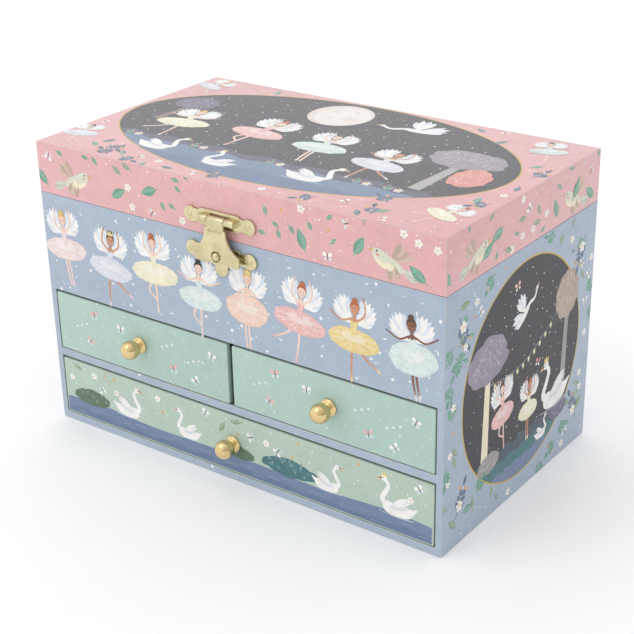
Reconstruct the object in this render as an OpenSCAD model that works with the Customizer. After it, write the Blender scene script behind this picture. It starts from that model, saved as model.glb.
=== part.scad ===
// Ballerina jewellery box: paper-covered boards, three drawers, a hinged lid with a brass clasp,
// and an 18-note spring movement that turns a dancer on a bending spring.
// X runs across the front, -Y is the front, Z is up, and the origin is the middle of the underside.

/* [Case] */
// Overall width
body_w = 225; // [200:1:280]
// Overall depth
body_d = 132; // [128:1:170]
// Height of the case up to the lid seam
case_h = 121; // [118:1:150]
// Thickness of the side, front and back boards
wall_t = 3.6; // [2.5:0.1:4.5]
// Thickness of the base board and of the shelf between the drawers
base_t = 4.2; // [3:0.1:5]
// Height of each row of drawers
bay_h = 31.4; // [26:0.1:32]
// Thickness of the board between the two upper drawers
divider_t = 1.6; // [1.2:0.1:3]
// Thickness of the floor board of the top compartment
floor_t = 3; // [2:0.1:4]
// Thickness of the lining boards inside the top compartment
liner_t = 1.5; // [1:0.1:2.5]
// Rise of the lining boards into the lid
lip_h = 6; // [3:0.5:9]

/* [Lid] */
// Height of the lid
lid_h = 24.8; // [20:0.1:32]
// Gap between the lid and the case
seam_gap = 0.2; // [0.2:0.1:0.8]
// Thickness of the lid boards
lid_t = 3; // [2:0.1:4]
// Width of the mirror
mirror_w = 176; // [120:1:190]
// Depth of the mirror
mirror_d = 92; // [70:1:104]
// Thickness of the mirror
mirror_t = 1.5; // [1:0.1:2.5]
// Thickness of the card frame round the mirror
frame_t = 1.4; // [1:0.1:2.5]

/* [Drawers] */
// Gap on each side of a drawer front
drawer_side_gap = 0.6; // [0.4:0.1:1.2]
// Gap above a drawer front
drawer_top_gap = 1; // [0.5:0.1:1.5]
// Gap under a drawer
drawer_foot_gap = 0.3; // [0.2:0.1:0.6]
// Thickness of a drawer front
drawer_front_t = 3; // [2:0.1:4]
// Thickness of the drawer sides and floors
drawer_wall_t = 2; // [1.5:0.1:3]
// How much lower the drawer sides are than its front
drawer_side_drop = 4; // [2:0.5:8]
// Diameter of the ball of a knob
knob_d = 9.2; // [7:0.1:10]
// Reach of a knob from the drawer front
knob_reach = 11; // [10.2:0.1:15]

/* [Clasp and hinges] */
// Offset of the clasp from the middle of the front
clasp_x = -1.2; // [-5:0.1:5]
// Thickness of the brass plates
plate_t = 0.9; // [0.6:0.05:1.2]
// Radius of the rolled knuckles
knuckle_r = 1.8; // [1.6:0.05:2.2]
// Radius of the hinge and clasp pins
pin_r = 0.8; // [0.6:0.05:1]
// Width of each lid hinge
hinge_w = 22; // [18:1:30]
// Distance of each hinge from the middle of the back
hinge_x = 70; // [58:1:88]
// How far the lid opens, where the hinge stops meet
lid_open_deg = 100; // [95:1:108]

/* [Movement] */
// Number of teeth on the mainspring barrel
barrel_teeth = 36; // [36:1:40]
// Number of teeth on the cylinder pinion
cylinder_teeth = 12; // [12:1:14]
// Number of notes in the comb
notes = 18; // [14:1:22]
// Radius of the pinned cylinder
cylinder_r = 5.8; // [4.8:0.1:6]

/* [Dancer] */
// Radius of the arc of the folded spring
spring_bend_r = 9; // [7.5:0.1:11]
// Outer radius of the spring coils
spring_r = 2.6; // [2:0.1:3.2]
// Radius of the tutu
tutu_r = 15; // [10:0.5:16]
// Height of the dancer from its foot to its fingertips
dancer_h = 56; // [40:1:58]

/* [Hidden] */
$fn = 48;

// Radial clearances: a pin held fast, a running shaft, and parts that only have to miss each other
held = 0.02;
running = 0.05;
loose = 0.4;
nail_fit = 0.05;
// How far a cut runs past the face that it goes through
past = 1;

// Case
front_y = -body_d / 2;
back_y = body_d / 2;
inner_w = body_w - 2 * wall_t;
inner_back_y = back_y - wall_t;
shelf_z = base_t + bay_h;
upper_bay_z = shelf_z + base_t;
floor_z = upper_bay_z + bay_h;
room_z = floor_z + floor_t;
room_front_y = front_y + wall_t + liner_t;
room_back_y = inner_back_y - liner_t;
room_w = inner_w - 2 * liner_t;
pad_t = 1;

// Ring rolls, in the left bay of the top compartment
roll_r = 6.4;
roll_count = 5;
roll_gap = 0.2;
roll_margin = 0.6;
roll_pitch = 2 * roll_r + roll_gap;
roll_start_y = room_front_y + roll_r + roll_margin;

// Lid
lid_z = case_h + seam_gap;
lid_top_z = lid_z + lid_h;
lid_under_z = lid_top_z - lid_t;
mirror_z = lid_under_z - mirror_t;
frame_z = mirror_z - frame_t;
frame_overlap = 3;
frame_margin = 1;

// Drawers
half_bay = divider_t / 2;
side = inner_w / 2;
drawer_back_gap = 1;
screw_r = 1.2;
screw_head_r = 2.6;
screw_head_t = 1.2;
screw_in = 5;
screw_slot_w = 0.6;
screw_slot_d = 0.5;
flange_r = 4.1;
flange_t = 1.5;
knob_neck_r = 2.2;

// Hinges
leaf_t = 0.8;
leaf_h = 11;
hinge_offset = 0.1;
hinge_y = back_y + knuckle_r + hinge_offset;
hinge_z = case_h + seam_gap / 2;
knuckle_gap = 0.3;
knuckle_share = 0.38;
stop_reach = 5.3;
stop_start = 2.2;
stop_rest = 0.4;
stop_angle = lid_open_deg / 2;
stop_shelf_z = hinge_z - 4.7;
stop_shelf_t = 0.8;
leaf_edge_gap = 0.2;
middle_half = hinge_w * knuckle_share / 2;
// Shares of a leaf's width and height at which its nails stand
hinge_nail_out = 0.34;
hinge_nail_up = 0.62;

// Nails
nail_r = 0.45;
nail_in = 2.4;
nail_head_r = 1.1;
nail_dome_r = nail_head_r * 1.2;
nail_dome_drop = nail_head_r * 0.6;

// Clasp
clasp_z = case_h + 9;
clasp_y = front_y - 2.3;
clasp_ear_x = 16.1;
clasp_ear_r = 3.6;
clasp_ear_drop = 0.4;
clasp_waist = 2.9;
clasp_knuckle_w = 5;
lid_plate_half = 12.8;
lid_plate_step = 2.4;
lid_plate_shoulder = 2;
lid_plate_up = 3.9;
lid_plate_down = 3.6;
knuckle_slot = 2.2;
case_plate_half = 10.8;
case_plate_up = 3.6;
case_plate_down = 3.4;
hasp_knuckle_w = 9.2;
hasp_w = 25.7;
hasp_h = 19.5;
hasp_foot_h = 6;
hasp_flare_r = 12;
hasp_flare_drop = 3.4;
hasp_flare_out = 4.75;
hasp_lobe_r = 2.4;
stud_z = clasp_z - 16.2;
stud_dome_r = 2.2;
stud_shank_r = 1.6;
stud_hole_r = 2.6;
stud_reach = 5.4;
tongue_w = 7.1;
tongue_drop = 10.2;

// Movement platform in the middle of the back
platform_w = 84;
platform_wall = 2;
platform_front_y = 3;
platform_h = 24.3;
platform_z = room_z + platform_h;
spindle_inset = 14;
spindle_y = platform_front_y + spindle_inset;

// Movement, measured from the bedplate
bed_t = 1.6;
bed_margin = 3.5;
bed_front = 6;
bed_side = 1.5;
bed_z = room_z + bed_t;
gear_m = 0.5;
fine_m = 0.4;
crown_m = 0.6;
tip_rise = 0.7;
root_drop = 1.1;
barrel_r = barrel_teeth * gear_m / 2;
barrel_lift = 1.2;
axis_z = bed_z + barrel_r + barrel_lift;
barrel_x = -(barrel_teeth + cylinder_teeth) * gear_m / 2;
governor_teeth = 10;
governor_x = barrel_x - (barrel_teeth + governor_teeth) * gear_m / 2;
wheel_teeth = 30;
fly_teeth = 10;
fly_x = governor_x - (wheel_teeth + fly_teeth) * fine_m / 2;
driver_teeth = 12;
crown_teeth = 20;
crown_r = crown_teeth * crown_m / 2;
driver_w = 1.6;
driver_y = spindle_y + crown_r - driver_w / 2;
cheek_t = 1;
cylinder_cheek_y = driver_y + driver_w + loose;
cylinder_y = cylinder_cheek_y + cheek_t + 0.8;
cylinder_l = 16;
cylinder_cheek_low = -2.6;
cylinder_cheek_high = 4.5;
cylinder_cheek_rise = 2.6;
train_cheek_rise = 3;
train_cheek_past = 4;
bearing_r = 2.6;
gear_y = cylinder_y + cylinder_l + loose;
gear_w = 2;
drum_r = barrel_r - 0.5;
drum_l = 11.6;
drum_wall_t = 0.8;
train_cheek_y = gear_y - 6.4;
wheel_y = train_cheek_y + cheek_t + 1;
wheel_w = 1.2;
rear_cheek_y = gear_y + gear_w + drum_l + 0.8;
arbor_r = 1.5;
thin_arbor_r = 0.6;
cylinder_arbor_r = 1;
arbor_past = 0.4;
shaft_past = 0.6;
pin_proud = 0.35;
pin_root = 0.3;
note_pin_r = 0.2;
// Turn from one note pin to the next, which scatters them evenly round the cylinder
pin_turn = 137.5;
comb_gap = 0.25;
comb_t = 0.7;
comb_root_x = 18;
comb_back_x = 26;
comb_lap = 2;
// Share of each note's space on the comb that its tooth leaves free on one side
tooth_gap = 0.1;
small_screw_r = 0.8;
small_head_r = 1.6;
small_head_t = 0.9;
small_slot_w = 0.4;
small_slot_z = 0.5;
comb_screw_l = 4;
comb_screws = [for (f = [0.25, 0.75]) [(comb_root_x + comb_back_x) / 2, cylinder_y + f * cylinder_l]];
bed_screws = [[fly_x + 2, spindle_y], [comb_back_x - 3, spindle_y], [comb_back_x - 3, rear_cheek_y - 3]];
spring_turns = 5;
spring_steps = 20;
spring_t = 0.3;
spring_bite = 0.05;
fly_blade_r = 4.2;
fly_blade_half = 0.2;
key_y = back_y + 6;
key_boss_r = 2.6;
key_boss_l = 9;
key_gap = 1.2;
key_wing_x = 5.5;
key_wing_r = 4.6;
key_hole_r = 2;
key_wing_t = 1.4;
wire_r = 0.8;
wire_clear = 0.6;
wire_finger_l = 6;
wire_top_gap = 0.3;
wire_y = room_back_y - 2;
wire_x = fly_x;
spindle_r = 1;
bearing_top_z = axis_z - 2;
spindle_foot = 3.8;
crown_mesh = 0.35;
crown_tooth_h = 1.1;
crown_web = 1.6;
crown_side = 0.2;
crown_lap = 0.1;
// Half widths of a crown tooth at its tip and its root, as shares of the pitch
crown_tip = 0.1;
crown_root = 0.24;
crown_tip_z = axis_z + driver_teeth * crown_m / 2 - crown_mesh;
crown_root_z = crown_tip_z + crown_tooth_h;
disc_z = platform_z + loose;
disc_t = 1.5;
disc_r = 8;

// Dancer and spring
spring_base_z = disc_z + disc_t;
cap_t = 1.6;
cap_r = 3.2;
cap_seat = 0.6;
dancer_gap = 0.3;
peg_in = 1;
peg_l = 4;
spring_end_y = spindle_y - spring_bend_r;
dancer_z = spring_base_z + spring_bend_r;
dancer_foot_y = spring_end_y - cap_t - dancer_gap;
peg_r = 1;
ankle_r = 0.9;
hip_r = 1.7;
waist_r = 2;
chest_r = 2.3;
chest_wide = 1.5;
shoulder_r = 1.1;
hand_r = 0.8;
neck_r = 1;
ankle_x = 0.4;
hip_x = 1.2;
shoulder_x = 3.2;
elbow_x = 6.5;
hand_x = 1.6;
// Heights on the dancer, as textbook shares of its height
hip_z = dancer_h * 0.34 + 2;
shoulder_z = hip_z + dancer_h * 0.2;
elbow_z = shoulder_z + dancer_h * 0.16;
head_z = shoulder_z + dancer_h * 0.14;
head_r = dancer_h * 0.062;
bun_r = head_r * 0.5;
bun_y = 0.6;
tutu_z = hip_z - 1.6;
tutu_rise = 2.2;
tutu_edge = 1.2;
tutu_top = 1.6;

// Colours
blue_paper = [0.66, 0.70, 0.81];
pink_paper = [0.90, 0.68, 0.71];
green_paper = [0.70, 0.80, 0.75];
brass = [0.82, 0.72, 0.40];
steel = [0.72, 0.73, 0.75];
velvet = [0.80, 0.72, 0.84];
skin = [0.93, 0.78, 0.69];
net = [0.96, 0.84, 0.86];

// A board from one corner to the opposite one
module board(low, high) {
    translate(low) cube(high - low);
}

// A round bar along Y
module bar_y(x, y0, y1, z, r) {
    translate([x, y1, z]) rotate([90, 0, 0]) cylinder(r = r, h = y1 - y0);
}

// A round bar along X
module bar_x(x0, x1, y, z, r) {
    translate([x0, y, z]) rotate([0, 90, 0]) cylinder(r = r, h = x1 - x0);
}

// A flat shape drawn in X and Z, from y0 to y1
module upright(y0, y1) {
    translate([0, y1, 0]) rotate([90, 0, 0]) linear_extrude(y1 - y0) children();
}

// The outline of a spur gear with straight-sided teeth; turned is in teeth
flank = [[-0.29, -root_drop], [-0.12, tip_rise], [0.12, tip_rise], [0.29, -root_drop]];
function tooth_ring(teeth, m, turned) = let(pitch = 360 / teeth, r = teeth * m / 2)
    [for (i = [0 : teeth - 1], c = flank)
        let(a = (i + turned + c[0]) * pitch, d = r + c[1] * m) [d * cos(a), d * sin(a)]];

// A spur gear along Y
module spur_gear(x, y, z, teeth, m, w, turned) {
    translate([x, y + w, z]) rotate([90, 0, 0]) linear_extrude(w) polygon(tooth_ring(teeth, m, turned));
}

// Positions of the nails, as [x, z] on the front and back faces
clasp_lid_nails = [for (s = [-1, 1]) [clasp_x + s * clasp_ear_x, clasp_z - clasp_ear_drop]];
clasp_case_nails = [for (s = [-1, 1]) [clasp_x + s * clasp_ear_x, stud_z]];
hinge_nail_xs = [for (h = [-1, 1], s = [-1, 1]) h * hinge_x + s * hinge_w * hinge_nail_out];
hinge_lid_nail_z = lid_z + leaf_h * hinge_nail_up;
hinge_case_nail_z = case_h - leaf_h * hinge_nail_up;

// A nail along Y: out is -1 on the front and 1 on the back, and proud is the plate it holds
module nail(x, face, z, out, proud) {
    tip = face - out * nail_in;
    seat = face + out * proud;
    bar_y(x, min(tip, seat), max(tip, seat), z, nail_r);
    translate([x, seat, z]) rotate([out * -90, 0, 0]) intersection() {
        translate([0, 0, -nail_dome_drop]) sphere(nail_dome_r);
        translate([-nail_dome_r, -nail_dome_r, 0]) cube(2 * nail_dome_r);
    }
}

// The hole that a nail leaves in a board or plate
module nail_hole(x, face, z, out, proud, grow) {
    tip = face - out * nail_in;
    seat = face + out * (proud + past);
    bar_y(x, min(tip, seat), max(tip, seat), z, nail_r + grow);
}

module base_panel() {
    color(blue_paper) board([-body_w / 2, front_y, 0], [body_w / 2, back_y, base_t]);
}

module side_wall(side) {
    color(blue_paper)
        board([side > 0 ? inner_w / 2 : -body_w / 2, front_y, base_t],
            [side > 0 ? body_w / 2 : -inner_w / 2, back_y, case_h]);
}

module back_wall() {
    color(blue_paper) difference() {
        board([-inner_w / 2, inner_back_y, base_t], [inner_w / 2, back_y, case_h]);
        bar_y(barrel_x, inner_back_y - past, back_y + past, axis_z, arbor_r + loose);
        for (x = hinge_nail_xs) nail_hole(x, back_y, hinge_case_nail_z, 1, 0, 0);
    }
}

module front_wall() {
    color(blue_paper) difference() {
        board([-inner_w / 2, front_y, floor_z], [inner_w / 2, front_y + wall_t, case_h]);
        for (n = clasp_case_nails) nail_hole(n[0], front_y, n[1], -1, 0, 0);
        bar_y(clasp_x, front_y - past, front_y + nail_in, stud_z, stud_shank_r);
    }
}

module drawer_shelf() {
    color(blue_paper) board([-inner_w / 2, front_y, shelf_z], [inner_w / 2, inner_back_y, upper_bay_z]);
}

module drawer_divider() {
    color(green_paper)
        board([-half_bay, front_y + drawer_front_t + past, upper_bay_z], [half_bay, inner_back_y, floor_z]);
}

module compartment_floor() {
    color(blue_paper) board([-inner_w / 2, front_y + wall_t, floor_z], [inner_w / 2, inner_back_y, room_z]);
}

// Four lining boards, which rise past the seam and locate the lid
module inner_liner() {
    top = case_h + lip_h;
    color(velvet) {
        board([-inner_w / 2, front_y + wall_t, room_z], [inner_w / 2, room_front_y, top]);
        difference() {
            board([-inner_w / 2, room_back_y, room_z], [inner_w / 2, inner_back_y, top]);
            bar_y(barrel_x, room_back_y - past, inner_back_y + past, axis_z, arbor_r + loose);
        }
        for (s = [-1, 1])
            board([s > 0 ? room_w / 2 : -inner_w / 2, room_front_y, room_z],
                [s > 0 ? inner_w / 2 : -room_w / 2, room_back_y, top]);
    }
}

// Thin covered cards on the floor of the three bays
module floor_lining() {
    half = platform_w / 2;
    color(velvet) {
        board([-room_w / 2, room_front_y, room_z], [-half - platform_wall, room_back_y, room_z + pad_t]);
        board([half + platform_wall, room_front_y, room_z], [room_w / 2, room_back_y, room_z + pad_t]);
        board([-half, room_front_y, room_z], [half, platform_front_y, room_z + pad_t]);
    }
}

// Two boards from front to back, which are also the sides of the movement platform
module compartment_dividers() {
    color(velvet) for (s = [-1, 1])
        board([s > 0 ? platform_w / 2 : -platform_w / 2 - platform_wall, room_front_y, room_z],
            [s > 0 ? platform_w / 2 + platform_wall : -platform_w / 2, room_back_y, platform_z]);
}

// Soft rolls that hold rings between them
module ring_cushion() {
    low = -room_w / 2 + roll_margin;
    high = -platform_w / 2 - platform_wall - roll_margin;
    color(velvet) for (i = [0 : roll_count - 1])
        bar_x(low, high, roll_start_y + i * roll_pitch, room_z + pad_t + roll_r, roll_r);
}

// The front and the top of the platform that hides the movement
module movement_cover() {
    half = platform_w / 2;
    under = platform_z - platform_wall;
    cut = platform_wall + 2 * past;
    color(velvet) {
        board([-half, platform_front_y, room_z], [half, platform_front_y + platform_wall, under]);
        difference() {
            board([-half, platform_front_y, under], [half, room_back_y, platform_z]);
            translate([0, spindle_y, under - past]) cylinder(r = spindle_r + loose, h = cut);
            translate([wire_x, wire_y, under - past]) cylinder(r = wire_r + loose, h = cut);
        }
    }
}

// One knuckle tube of a lid hinge
module hinge_knuckle(x0, x1) {
    bar_x(x0, x1, hinge_y, hinge_z, knuckle_r);
}

// The stop plate on a hinge: its face lies on a ray from the pin, and it is thick on one side of it
module hinge_stop(x0, x1, angle, side, from) {
    translate([x0, hinge_y, hinge_z]) rotate([angle, 0, 0])
        translate([0, from, side > 0 ? 0 : -leaf_t]) cube([x1 - x0, stop_reach - from, leaf_t]);
}

module hinge_case_leaves() {
    foot = case_h - leaf_h;
    out = back_y + leaf_t;
    shelf_out = hinge_y + stop_reach * cos(stop_angle) - stop_rest;
    color(brass) for (h = [-1, 1]) translate([h * hinge_x, 0, 0]) difference() {
        union() {
            board([-hinge_w / 2, back_y, foot], [hinge_w / 2, out, hinge_z - knuckle_r - knuckle_gap]);
            for (s = [-1, 1]) {
                x0 = s > 0 ? middle_half + knuckle_gap : -hinge_w / 2;
                x1 = s > 0 ? hinge_w / 2 : -middle_half - knuckle_gap;
                board([x0, back_y, foot], [x1, out, hinge_z - leaf_edge_gap]);
                hinge_knuckle(x0, x1);
            }
            hinge_stop(-middle_half, middle_half, -stop_angle - stop_rest, -1, stop_start);
            board([-middle_half, back_y, stop_shelf_z],
                [middle_half, shelf_out, stop_shelf_z + stop_shelf_t]);
        }
        bar_x(-hinge_w, hinge_w, hinge_y, hinge_z, pin_r + held);
        for (s = [-1, 1])
            nail_hole(s * hinge_w * hinge_nail_out, back_y, hinge_case_nail_z, 1, leaf_t, nail_fit);
    }
}

module hinge_lid_leaves() {
    head = lid_z + leaf_h;
    out = back_y + leaf_t;
    color(brass) for (h = [-1, 1]) translate([h * hinge_x, 0, 0]) difference() {
        union() {
            board([-hinge_w / 2, back_y, hinge_z + knuckle_r + knuckle_gap], [hinge_w / 2, out, head]);
            board([-middle_half, back_y, hinge_z + leaf_edge_gap], [middle_half, out, head]);
            hinge_knuckle(-middle_half, middle_half);
            hinge_stop(-middle_half, middle_half, stop_angle, 1, pin_r + loose);
        }
        bar_x(-hinge_w, hinge_w, hinge_y, hinge_z, pin_r + running);
        for (s = [-1, 1])
            nail_hole(s * hinge_w * hinge_nail_out, back_y, hinge_lid_nail_z, 1, leaf_t, nail_fit);
    }
}

module hinge_pins() {
    color(steel) for (h = [-1, 1])
        bar_x(h * hinge_x - hinge_w / 2, h * hinge_x + hinge_w / 2, hinge_y, hinge_z, pin_r);
}

// The strip that both plates of the clasp share, with a rounded ear and a nail hole at each end
module clasp_strip(z) {
    for (s = [-1, 1]) translate([clasp_x + s * clasp_ear_x, z]) circle(clasp_ear_r);
    translate([clasp_x - clasp_ear_x, z - clasp_waist]) square([2 * clasp_ear_x, 2 * clasp_waist]);
}

module clasp_case_plate() {
    tongue_z = stud_z - tongue_drop + tongue_w / 2;
    color(brass) difference() {
        upright(front_y - plate_t, front_y) {
            clasp_strip(stud_z);
            translate([clasp_x - case_plate_half, stud_z - case_plate_down])
                square([2 * case_plate_half, case_plate_down + case_plate_up]);
            translate([clasp_x - tongue_w / 2, tongue_z]) square([tongue_w, stud_z - tongue_z]);
            translate([clasp_x, tongue_z]) circle(tongue_w / 2);
        }
        for (n = clasp_case_nails) nail_hole(n[0], front_y, n[1], -1, plate_t, nail_fit);
        bar_y(clasp_x, front_y - plate_t - past, front_y + past, stud_z, stud_shank_r + held);
    }
}

module clasp_stud() {
    color(brass) {
        bar_y(clasp_x, front_y - stud_reach + stud_dome_r, front_y + nail_in, stud_z, stud_shank_r);
        translate([clasp_x, front_y - stud_reach + stud_dome_r, stud_z]) sphere(stud_dome_r);
    }
}

module case_nails() {
    color(brass) {
        for (n = clasp_case_nails) nail(n[0], front_y, n[1], -1, plate_t);
        for (x = hinge_nail_xs) nail(x, back_y, hinge_case_nail_z, 1, leaf_t);
    }
}

module lid_nails() {
    color(brass) {
        for (n = clasp_lid_nails) nail(n[0], front_y, n[1], -1, plate_t);
        for (x = hinge_nail_xs) nail(x, back_y, hinge_lid_nail_z, 1, leaf_t);
    }
}

module clasp_lid_plate() {
    z = clasp_z - clasp_ear_drop;
    near = hasp_knuckle_w / 2 + knuckle_gap;
    half = near + clasp_knuckle_w;
    wide = lid_plate_half;
    top = lid_plate_half - lid_plate_step;
    step = lid_plate_shoulder;
    color(brass) difference() {
        union() {
            upright(front_y - plate_t, front_y) difference() {
                union() {
                    clasp_strip(z);
                    translate([clasp_x, z]) polygon([[-wide, -step], [-top, -lid_plate_down],
                        [top, -lid_plate_down], [wide, -step], [wide, step], [top, lid_plate_up],
                        [-top, lid_plate_up], [-wide, step]]);
                }
                translate([clasp_x - near, clasp_z - knuckle_slot]) square([2 * near, 2 * knuckle_slot]);
            }
            bar_x(clasp_x - half, clasp_x - near, clasp_y, clasp_z, knuckle_r);
            bar_x(clasp_x + near, clasp_x + half, clasp_y, clasp_z, knuckle_r);
        }
        bar_x(clasp_x - half - past, clasp_x + half + past, clasp_y, clasp_z, pin_r + held);
        for (n = clasp_lid_nails) nail_hole(n[0], front_y, n[1], -1, plate_t, nail_fit);
    }
}

module clasp_pin() {
    half = hasp_knuckle_w / 2 + knuckle_gap + clasp_knuckle_w;
    color(steel) bar_x(clasp_x - half, clasp_x + half, clasp_y, clasp_z, pin_r);
}

// The bell-shaped hasp hangs from the clasp pin and closes over the stud
module clasp_hasp() {
    low = clasp_z - hasp_h;
    half = hasp_w / 2;
    neck = hasp_knuckle_w / 2;
    flare_z = clasp_z - hasp_flare_drop;
    face = clasp_y - knuckle_r;
    lobe_z = low + hasp_lobe_r;
    color(brass) difference() {
        union() {
            bar_x(clasp_x - neck, clasp_x + neck, clasp_y, clasp_z, knuckle_r);
            upright(face, face + plate_t) translate([clasp_x, 0]) {
                translate([-neck, low + hasp_foot_h]) square([2 * neck, hasp_h - hasp_foot_h]);
                difference() {
                    translate([-half, lobe_z]) square([hasp_w, flare_z - lobe_z]);
                    for (s = [-1, 1]) translate([s * (half + hasp_flare_out), flare_z]) circle(hasp_flare_r);
                }
                translate([hasp_lobe_r - half, low]) square([hasp_w - 2 * hasp_lobe_r, 2 * hasp_lobe_r]);
                for (s = [-1, 1]) translate([s * (half - hasp_lobe_r), lobe_z]) circle(hasp_lobe_r);
            }
        }
        bar_x(clasp_x - neck - past, clasp_x + neck + past, clasp_y, clasp_z, pin_r + running);
        bar_y(clasp_x, face - past, face + plate_t + past, stud_z, stud_hole_r);
    }
}

module lid_top_panel() {
    color(pink_paper) board([-body_w / 2, front_y, lid_under_z], [body_w / 2, back_y, lid_top_z]);
}

module lid_front_wall() {
    color(pink_paper) difference() {
        board([-body_w / 2 + lid_t, front_y, lid_z], [body_w / 2 - lid_t, front_y + lid_t, lid_under_z]);
        for (n = clasp_lid_nails) nail_hole(n[0], front_y, n[1], -1, 0, 0);
    }
}

module lid_back_wall() {
    color(pink_paper) difference() {
        board([-body_w / 2 + lid_t, back_y - lid_t, lid_z], [body_w / 2 - lid_t, back_y, lid_under_z]);
        for (x = hinge_nail_xs) nail_hole(x, back_y, hinge_lid_nail_z, 1, 0, 0);
    }
}

module lid_side_wall(side) {
    color(pink_paper)
        board([side > 0 ? body_w / 2 - lid_t : -body_w / 2, front_y, lid_z],
            [side > 0 ? body_w / 2 : -body_w / 2 + lid_t, back_y, lid_under_z]);
}

module lid_mirror() {
    color(steel) board([-mirror_w / 2, -mirror_d / 2, mirror_z], [mirror_w / 2, mirror_d / 2, lid_under_z]);
}

// A card frame that covers the mirror's edges and fills the inside of the lid
module mirror_frame() {
    half_w = body_w / 2 - lid_t - frame_margin;
    half_d = body_d / 2 - lid_t - frame_margin;
    color(pink_paper) difference() {
        board([-half_w, -half_d, frame_z], [half_w, half_d, lid_under_z]);
        board([-mirror_w / 2, -mirror_d / 2, mirror_z], [mirror_w / 2, mirror_d / 2, lid_under_z + past]);
        board([-mirror_w / 2 + frame_overlap, -mirror_d / 2 + frame_overlap, frame_z - past],
            [mirror_w / 2 - frame_overlap, mirror_d / 2 - frame_overlap, lid_under_z + past]);
    }
}

// A drawer: x0 and x1 are the sides of its bay, and z0 is the bay's floor
module drawer_front(x0, x1, z0) {
    x = (x0 + x1) / 2;
    z = z0 + bay_h / 2;
    color(green_paper) difference() {
        board([x0 + drawer_side_gap, front_y, z0 + drawer_foot_gap],
            [x1 - drawer_side_gap, front_y + drawer_front_t, z0 + bay_h - drawer_top_gap]);
        bar_y(x, front_y - past, front_y + drawer_front_t + past, z, screw_r + held);
    }
}

module drawer_tray(x0, x1, z0) {
    low_x = x0 + drawer_side_gap;
    high_x = x1 - drawer_side_gap;
    low_z = z0 + drawer_foot_gap;
    top_z = z0 + bay_h - drawer_top_gap - drawer_side_drop;
    near_y = front_y + drawer_front_t;
    far_y = inner_back_y - drawer_back_gap;
    color(green_paper) {
        board([low_x, near_y, low_z], [high_x, far_y, low_z + drawer_wall_t]);
        board([low_x, near_y, low_z + drawer_wall_t], [low_x + drawer_wall_t, far_y, top_z]);
        board([high_x - drawer_wall_t, near_y, low_z + drawer_wall_t], [high_x, far_y, top_z]);
        board([low_x + drawer_wall_t, far_y - drawer_wall_t, low_z + drawer_wall_t],
            [high_x - drawer_wall_t, far_y, top_z]);
    }
}

module drawer_knob(x0, x1, z0) {
    ball_r = knob_d / 2;
    color(brass) translate([(x0 + x1) / 2, front_y, z0 + bay_h / 2]) rotate([90, 0, 0]) difference() {
        union() {
            cylinder(r = flange_r, h = flange_t);
            cylinder(r = knob_neck_r, h = knob_reach - ball_r);
            translate([0, 0, knob_reach - ball_r]) sphere(ball_r);
        }
        translate([0, 0, -past]) cylinder(r = screw_r + held, h = screw_in + past + loose / 2);
    }
}

module drawer_screw(x0, x1, z0) {
    color(steel) translate([(x0 + x1) / 2, front_y, z0 + bay_h / 2]) rotate([90, 0, 0]) {
        translate([0, 0, -drawer_front_t]) cylinder(r = screw_r, h = drawer_front_t + screw_in);
        translate([0, 0, -drawer_front_t - screw_head_t]) difference() {
            cylinder(r = screw_head_r, h = screw_head_t);
            translate([-screw_slot_w / 2, -screw_head_r - past, screw_slot_d - 2])
                cube([screw_slot_w, 2 * screw_head_r + 2 * past, 2]);
        }
    }
}

// The bedplate with its cheeks, its comb riser and the foot bearing of the spindle
module movement_bedplate() {
    left = fly_x - bed_margin;
    rear = rear_cheek_y + cheek_t;
    cheek_x = barrel_x + train_cheek_past;
    cheek_z = axis_z + train_cheek_rise;
    front = train_cheek_y - past;
    driver_cheeks = [cylinder_cheek_y, gear_y + gear_w + loose];
    color(steel) difference() {
        union() {
            board([left, spindle_y - bed_front, room_z], [comb_back_x + bed_side, rear, bed_z]);
            board([left, train_cheek_y, bed_z], [cheek_x, train_cheek_y + cheek_t, cheek_z]);
            board([left, rear_cheek_y, bed_z], [cheek_x, rear, cheek_z]);
            for (y = driver_cheeks)
                board([cylinder_cheek_low, y, bed_z],
                    [cylinder_cheek_high, y + cheek_t, axis_z + cylinder_cheek_rise]);
            board([comb_root_x, cylinder_y, bed_z],
                [comb_back_x, cylinder_y + cylinder_l, axis_z - comb_t / 2]);
            translate([0, spindle_y, bed_z]) cylinder(r = bearing_r, h = bearing_top_z - bed_z);
        }
        bar_y(barrel_x, front, rear + past, axis_z, arbor_r + running);
        for (x = [governor_x, fly_x]) bar_y(x, front, rear + past, axis_z, thin_arbor_r + running);
        bar_y(0, cylinder_cheek_y - past, driver_cheeks[1] + cheek_t + past, axis_z,
            cylinder_arbor_r + running);
        translate([0, spindle_y, bearing_top_z - spindle_foot - small_slot_w / 2])
            cylinder(r = spindle_r + running, h = spindle_foot + past);
        for (p = comb_screws)
            translate([p[0], p[1], axis_z - comb_screw_l - 2 * past])
                cylinder(r = small_screw_r + held, h = comb_screw_l + 4 * past);
        for (p = bed_screws)
            translate([p[0], p[1], room_z - past]) cylinder(r = small_screw_r + held, h = bed_t + 2 * past);
    }
}

module small_screw(p, seat, l) {
    translate([p[0], p[1], seat - l]) cylinder(r = small_screw_r, h = l);
    translate([p[0], p[1], seat]) difference() {
        cylinder(r = small_head_r, h = small_head_t);
        translate([-small_head_r - past, -small_slot_w / 2, small_slot_z])
            cube([2 * small_head_r + 2 * past, small_slot_w, past]);
    }
}

module movement_screws() {
    color(brass) {
        for (p = comb_screws) small_screw(p, axis_z + comb_t / 2, comb_t + comb_screw_l);
        for (p = bed_screws) small_screw(p, bed_z, bed_t);
    }
}

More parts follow.
